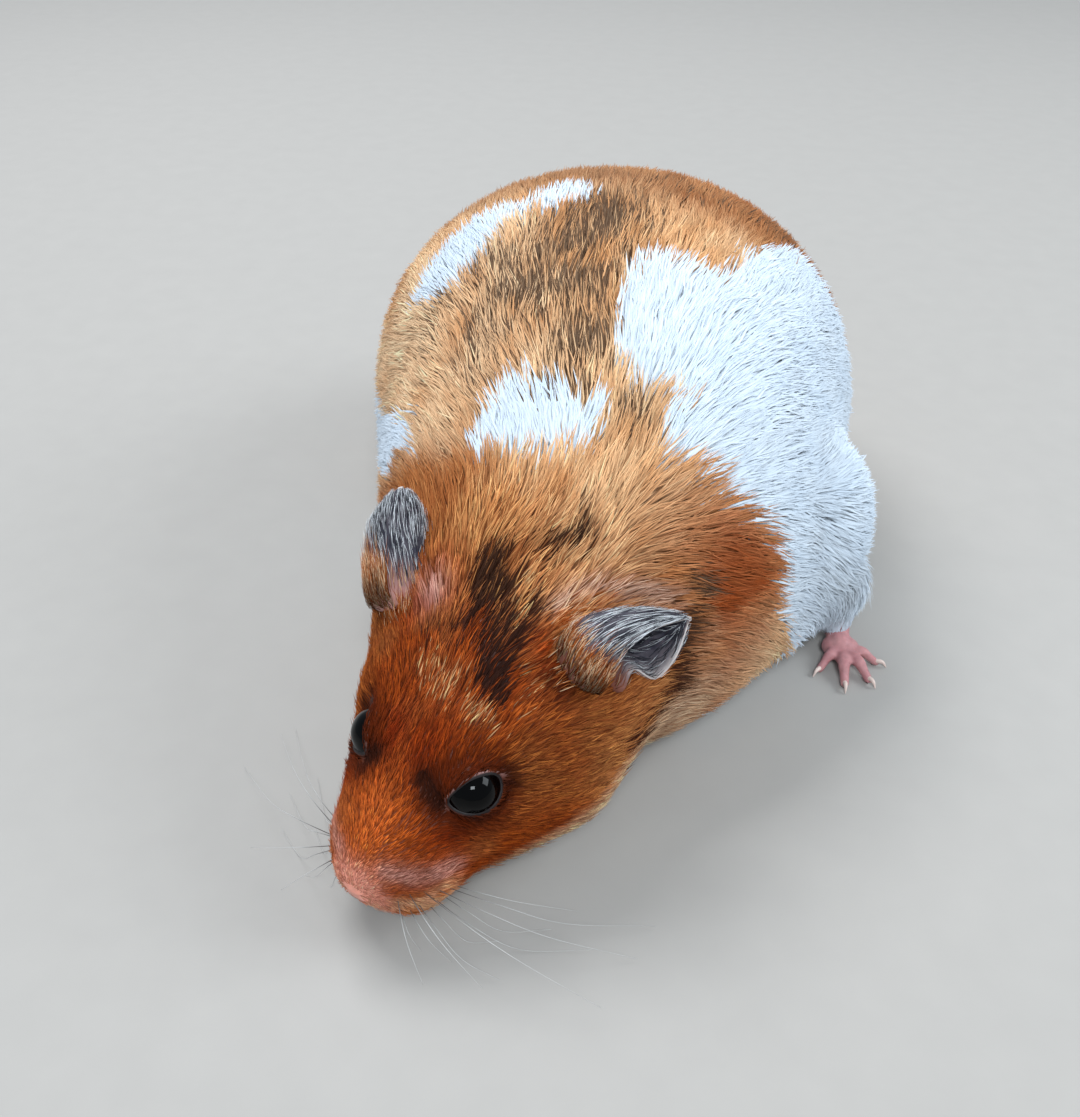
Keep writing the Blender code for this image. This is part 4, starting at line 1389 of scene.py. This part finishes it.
def build_coat():
    surface = Surface(body_points, body_faces)
    local = to_head(body_spots)
    left, back = local[:, 0] > 0, local[:, 1]
    y, angle = chart(body_spots)
    legs = np.zeros(len(body_spots), bool)
    for name in FEET:
        legs |= from_heel(body_spots, name) < (12.0 if "fore" in name else 8.0)
    face = ~legs & (back < 5)
    crown = ~legs & (back >= 5) & (back < 24)
    body = ~legs & (back >= 24)
    flank = body & (y >= -16) & (y < 22)
    rump = body & (y >= 22)
    areas = [("coat_face_left", face & left, HEAD_MAP, FACE_LOCKS),
             ("coat_face_right", face & ~left, HEAD_MAP, FACE_LOCKS),
             ("coat_crown_left", crown & left, HEAD_MAP, CROWN_LOCKS),
             ("coat_crown_right", crown & ~left, HEAD_MAP, CROWN_LOCKS),
             ("coat_shoulders", body & (y < -16), BODY_MAP, SHOULDER_LOCKS),
             ("coat_left_flank", flank & (angle > 0), BODY_MAP, BODY_LOCKS),
             ("coat_right_flank", flank & (angle <= 0), BODY_MAP, BODY_LOCKS),
             ("coat_rump_left", rump & (angle > 0), BODY_MAP, BODY_LOCKS),
             ("coat_rump_right", rump & (angle <= 0), BODY_MAP, BODY_LOCKS),
             ("coat_legs", legs, BODY_MAP, FACE_LOCKS)]
    return [coat_piece(surface, name, chosen, area_map, 100 + 10 * number, *locks)
            for number, (name, chosen, area_map, locks) in enumerate(areas)]


# Where long hairs grow from the head over each ear's base, their direction and number (head axes)
EAR_FRINGE = {
    "left_ear": ([(10.4, 12.4, 6.0), (8.6, 14.4, 8.2), (7.6, 17.4, 9.4), (7.6, 20.0, 9.6), (9.6, 23.6, 8.6)],
                 (0.55, 0.80, 0.30), 300),
    "right_ear": ([(-10.4, 12.0, 8.4), (-13.2, 10.6, 6.6), (-16.0, 11.4, 3.8)], (-0.30, 0.72, 0.62), 220)}


def sheet_point(sheet, j, i):
    """Points of a grid at fractional rows j and columns i."""
    j = np.clip(j, 0, sheet.shape[0] - 1.001)
    i = np.clip(i, 0, sheet.shape[1] - 1.001)
    a, b = j.astype(int), i.astype(int)
    fa, fb = (j - a)[:, None], (i - b)[:, None]
    return ((sheet[a, b] * (1 - fa) + sheet[a + 1, b] * fa) * (1 - fb)
            + (sheet[a, b + 1] * (1 - fa) + sheet[a + 1, b + 1] * fa) * fb)


def inward(sheet):
    """1 where the sheet's normals point into the ear, -1 where they point out of it."""
    return np.sign(np.sum(sheet_normals(sheet) * (sheet.mean(axis=(0, 1)) - sheet)))


def laid_on_ear(sheet, face, j, i, reach, drift, lifts, rng):
    """(centre lines, normals) of hairs along one face of an ear, from rows j and columns i of its sheet."""
    normals = sheet_normals(sheet)
    centre, up = np.empty((2, len(j), RINGS + 1, 3))
    for k, height in enumerate(lifts):
        at = (j + reach * k / RINGS, i + drift * k)
        way = sheet_point(normals, *at) * face
        lift = height * rng.uniform(0.7, 1.3, len(j))
        centre[:, k] = sheet_point(sheet, *at) + way * lift[:, None]
        up[:, k] = unit(way)
    return centre, up[:, :RINGS]


def ear_face_hair(name, face, rng):
    """Fine hairs over one face of an ear: (centre, up, half, tip colours, place along and across)."""
    sheet = ears[name]
    rows, columns = sheet.shape[:2]
    inner = face * inward(sheet) > 0
    count = 620 if inner else 1150
    j = rng.uniform(3.5, rows - 2.5, count)
    i = rng.uniform(0.2, columns - 1.2, count)
    reach = rng.uniform(2.4, 4.8, count) * np.clip((rows - 1 - j) / 6.0, 0.35, 1.0)
    drift = rng.normal(0, 0.35, count)
    centre, up = laid_on_ear(sheet, face, j, i, reach, drift, (0.16, 0.40, 0.62), rng)
    pick = rng.random(count)
    colour = mix(EAR_SILVER, EAR_GREY, 0.95 * (pick > (0.28 if inner else 0.54)))
    warm = mix(CREAM, RUST, 0.9 * (rng.random(count) > 0.40))
    front = smooth_step(13, 6, i) if name == "left_ear" else smooth_step(12, 22, i)
    near_base = np.maximum(smooth_step(8.0, 6.0, j), front * smooth_step(13, 8, j))
    colour = mix(colour, warm, rng.random(count) < near_base)
    return centre, up, np.tile((0.040, 0.034), (count, 1)), colour, np.column_stack([j / rows, i / columns])


def base_hair(name, rng):
    """Thicker warm hairs over the outside of an ear's base."""
    sheet = ears[name]
    rows, columns = sheet.shape[:2]
    count = 800 if name == "left_ear" else 420
    j = rng.uniform(2.5, 7.5, count)
    i = (columns - 1.4) * rng.random(count) ** 1.6 + 0.2
    if name == "right_ear":
        i = rng.uniform(15, columns - 1.2, count)
    reach = rng.uniform(3.0, 5.5, count)
    drift = rng.normal(0, 0.5, count)
    centre, up = laid_on_ear(sheet, -inward(sheet), j, i, reach, drift, (0.20, 0.55, 0.80), rng)
    colour = mix(ORANGE, RUST, 0.3 + 0.7 * rng.random(count))
    colour = mix(colour, CREAM, 0.85 * (rng.random(count) < 0.38))
    colour = mix(colour, DARK, 0.7 * (rng.random(count) < 0.18))
    # Painted shade where the ear meets the head: the hairs darken to near black towards the base
    colour = mix(colour, PAINTED_SHADE_AND_LID_BLACK, 0.75 * smooth_step(6.0, 3.5, j))
    return centre, up, np.tile((0.070, 0.056), (count, 1)), colour, np.column_stack([j / rows, i / columns])


def fringe_hair(name, surface, rng):
    """Longer hairs of the head that sweep over an ear's base."""
    path, way, count = EAR_FRINGE[name]
    picks = rng.uniform(0, len(path) - 1, count)
    spots = spline(path, picks) + rng.normal(0, 0.5, (count, 3))
    roots, normals = surface.nearest(from_head(spots))
    ahead = unit(turned(way) + rng.normal(0, 0.16, (count, 3)))
    ahead = unit(ahead - normals * np.minimum(np.sum(ahead * normals, axis=1), 0)[:, None] + normals * 0.12)
    length = rng.uniform(2.2, 4.0, count)
    centre = np.stack([roots - normals * 0.1, roots + ahead * (0.5 * length)[:, None] + normals * 0.25,
                       roots + ahead * length[:, None] + normals * 0.15], axis=1)
    up = np.repeat(normals[:, None], RINGS, axis=1)
    colour = mix(ORANGE, RUST, 0.4 + 0.6 * rng.random(count))
    colour = mix(colour, CREAM, 0.8 * (rng.random(count) < 0.20))
    place = np.column_stack([np.full(count, 0.02), picks / len(path)])
    return centre, up, np.tile((0.07, 0.055), (count, 1)), colour, place


def build_ear_hair():
    """The ears' hair, in one piece; each kind has its own strip of the map."""
    rng = np.random.default_rng(400)
    surface = Surface(body_points, body_faces)
    kinds = []
    for name in EARS:
        kinds += [ear_face_hair(name, 1, rng), ear_face_hair(name, -1, rng), base_hair(name, rng),
                  fringe_hair(name, surface, rng)]
    parts = []
    for number, (centre, up, half, tip, spread) in enumerate(kinds):
        across = (number + 0.05 + 0.9 * spread[:, 1]) / len(kinds)
        place = np.column_stack([across, 0.02 + 0.96 * spread[:, 0]])
        parts.append((centre, up, half, tip, mix(tip * 0.5, tip, 0.6), tip * 0.5, place))
    return tuft_object("coat_ears", *(np.concatenate(rows) for rows in zip(*parts)), 401)


# ---------------------------------------------------------------- whiskers

# Root in head axes, direction and length of each whisker
WHISKERS = [
    ((6.2, -10.2, -6.2), (0.80, -0.05, -0.30), 24), ((6.8, -9.2, -6.8), (0.86, 0.18, -0.30), 26),
    ((7.2, -8.4, -7.4), (0.88, 0.34, -0.36), 24), ((6.6, -9.8, -7.6), (0.78, 0.02, -0.55), 20),
    ((5.8, -11.0, -7.4), (0.70, -0.22, -0.58), 16), ((7.0, -8.8, -8.6), (0.80, 0.20, -0.62), 17),
    ((6.2, -10.2, -8.8), (0.66, -0.05, -0.75), 13), ((5.2, -11.8, -8.2), (0.55, -0.35, -0.70), 10),
    ((5.4, -11.2, -6.0), (0.72, -0.36, -0.25), 14), ((4.6, -12.2, -6.6), (0.58, -0.60, -0.35), 9),
    ((7.4, -7.6, -8.2), (0.82, 0.42, -0.48), 15), ((4.4, -12.3, -8.8), (0.42, -0.40, -0.82), 7)]
WHISKER_RADII = [0.050, 0.044, 0.032, 0.012]
WHISKER_LOWEST = 0.45


def build_whiskers():
    """Thin tubes that bend back and down, dark at the root and pale at the tip."""
    rng = np.random.default_rng(77)
    shells, shades = [], []
    for side in (1, -1):
        flip = np.array([side, 1, 1])
        for root, way, length in WHISKERS:
            start = from_head(np.array(root) * flip)
            ahead = unit(turned(np.array(way) * flip + rng.normal(0, 0.06, 3)))
            bend = turned((0.0, 0.32, -0.30)) + (0, 0, -0.05)
            reach = length * rng.uniform(0.85, 1.08)
            path = [start + ahead * reach * t + bend * reach * 0.55 * t ** 2 for t in (-0.03, 0.3, 0.6, 1.0)]
            path = [np.array([p[0], p[1], max(p[2], WHISKER_LOWEST)]) for p in path]
            shells.append(tube(path, WHISKER_RADII, 5, 5, False))
            t = np.linspace(0, 1, len(shells[-1][0]))
            shades.append(mix(WHISKER_PALE, WHISKER_DARK, 1 - smooth_step(0.12, 0.45, t)))
    made = make_object("whiskers", *joined(shells))
    tint(made.data, np.vstack(shades))
    material, tree, shader = new_material("whisker_material", {"Roughness": 0.35})
    varied_tint(tree, shader, fine_noise(tree, 2.0), 0.9, 1.1)
    made.data.materials.append(material)
    return made


# ---------------------------------------------------------------- eyes and claws

def build_eye(side, material):
    """A glossy ball with a slightly raised front."""
    name = "left_eye" if side > 0 else "right_eye"
    centre, axis, ahead, up = EYES[side]
    rings, sides = 40, 64
    cosines, sines = circle(sides)
    rows = []
    for k in range(1, rings):
        a = math.pi * (1 - k / rings)
        bulge = 1.0 + 0.05 * smooth_step(0.75, 1.0, math.cos(a))
        ring = np.outer(cosines, ahead) * math.sin(a) + np.outer(sines, up) * math.sin(a)
        rows.append(centre + (ring + axis * math.cos(a)) * EYE_RADIUS * bulge)
    points, faces = skinned_rings(rows)
    if np.dot(np.cross(ahead, up), axis) < 0:
        faces = [face[::-1] for face in faces]
    made = make_object(name + "_ball", points, faces)
    made.data.materials.append(material)
    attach(made, "root")
    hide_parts(name)


def build_claws():
    made = make_object("claws", *joined([claw for name in FEET for claw in feet[name][1]]))
    made.data.materials.append(plain_material("claw_material", CLAW, 0.35, 0.5, 0.6, 0.85, 1.12))
    return made


# ---------------------------------------------------------------- assembly

skin = build_skin()
skin.data.materials.append(SKIN)
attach(skin, "root")
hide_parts(*(FLESH + EARS + FEET))

eye_material = plain_material("eye_material", EYE_BLACK, 0.03, 0.13, 2.0, 0.6, 1.4)
for eye_side in (1, -1):
    build_eye(eye_side, eye_material)

for piece in build_coat() + [build_ear_hair()]:
    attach(piece, "root")

claws = build_claws()
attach(claws, "root")

whiskers = build_whiskers()
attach(whiskers, "root")


# ---------------------------------------------------------------- studio

FLOOR_HALF = 1.6


def build_floor():
    corners = [(x * FLOOR_HALF, y * FLOOR_HALF, 0) for x, y in ((-1, -1), (1, -1), (1, 1), (-1, 1))]
    mesh = bpy.data.meshes.new("studio_floor")
    mesh.from_pydata(corners, [], [(0, 1, 2, 3)])
    floor = placed("studio_floor", mesh)
    mesh.materials.append(plain_material("floor_material", FLOOR_GREY, 0.7, 0.3, 6.0, 0.96, 1.03))


# Lights: name, place, target, size, power and colour
LIGHTS = [
    ("key", (-0.32, 0.28, 0.70), (0, 0, 0.02), (0.45, 0.35), 6.0, (0.92, 0.96, 1.0)),
    ("fill", (0.10, -0.50, 0.62), (0, 0, 0.02), (0.24, 0.18), 3.4, (0.88, 0.95, 1.0)),
    ("side", (0.65, 0.15, 0.50), (0, 0, 0.03), (0.42, 0.36), 3.9, (0.88, 0.95, 1.0))]
SKY = (0.80, 0.91, 1.0, 1.0)
SKY_STRENGTH = 0.46


def build_lights():
    for name, place, target, size, power, colour in LIGHTS:
        light = bpy.data.lights.new(name, "AREA")
        light.shape = "RECTANGLE"
        light.size, light.size_y = size
        light.energy = power
        light.color = colour
        made = placed(name, light)
        made.location = place
        made.rotation_euler = (Vector(target) - Vector(place)).to_track_quat("-Z", "Y").to_euler()
    world = bpy.data.worlds.new("studio")
    world.use_nodes = True
    set_inputs(world.node_tree.nodes["Background"], {"Color": SKY, "Strength": SKY_STRENGTH})
    bpy.context.scene.world = world


# Camera: place in metres, degrees down, way over the floor, focal length and height in pixels
CAMERA_AT = (0.01349, -0.13930, 0.112)
CAMERA_DOWN = 38.0
CAMERA_WAY = (-0.175, 0.985)
CAMERA_FOCUS = 1100.0
PHOTO_HEIGHT = 1117.0
SENSOR = 36.0


def build_camera():
    data = bpy.data.cameras.new("camera")
    data.sensor_fit = "VERTICAL"
    data.sensor_height = SENSOR
    data.lens = SENSOR * CAMERA_FOCUS / PHOTO_HEIGHT
    data.clip_start = 0.002
    data.clip_end = 20.0
    camera = placed("camera", data)
    down = math.radians(CAMERA_DOWN)
    flat = Vector((CAMERA_WAY[0], CAMERA_WAY[1], 0.0)).normalized()
    way = flat * math.cos(down) - Vector((0, 0, 1)) * math.sin(down)
    camera.location = CAMERA_AT
    camera.rotation_euler = way.to_track_quat("-Z", "Y").to_euler()
    bpy.context.scene.camera = camera


build_floor()
build_camera()
build_lights()
bpy.context.scene.view_settings.view_transform = "Standard"
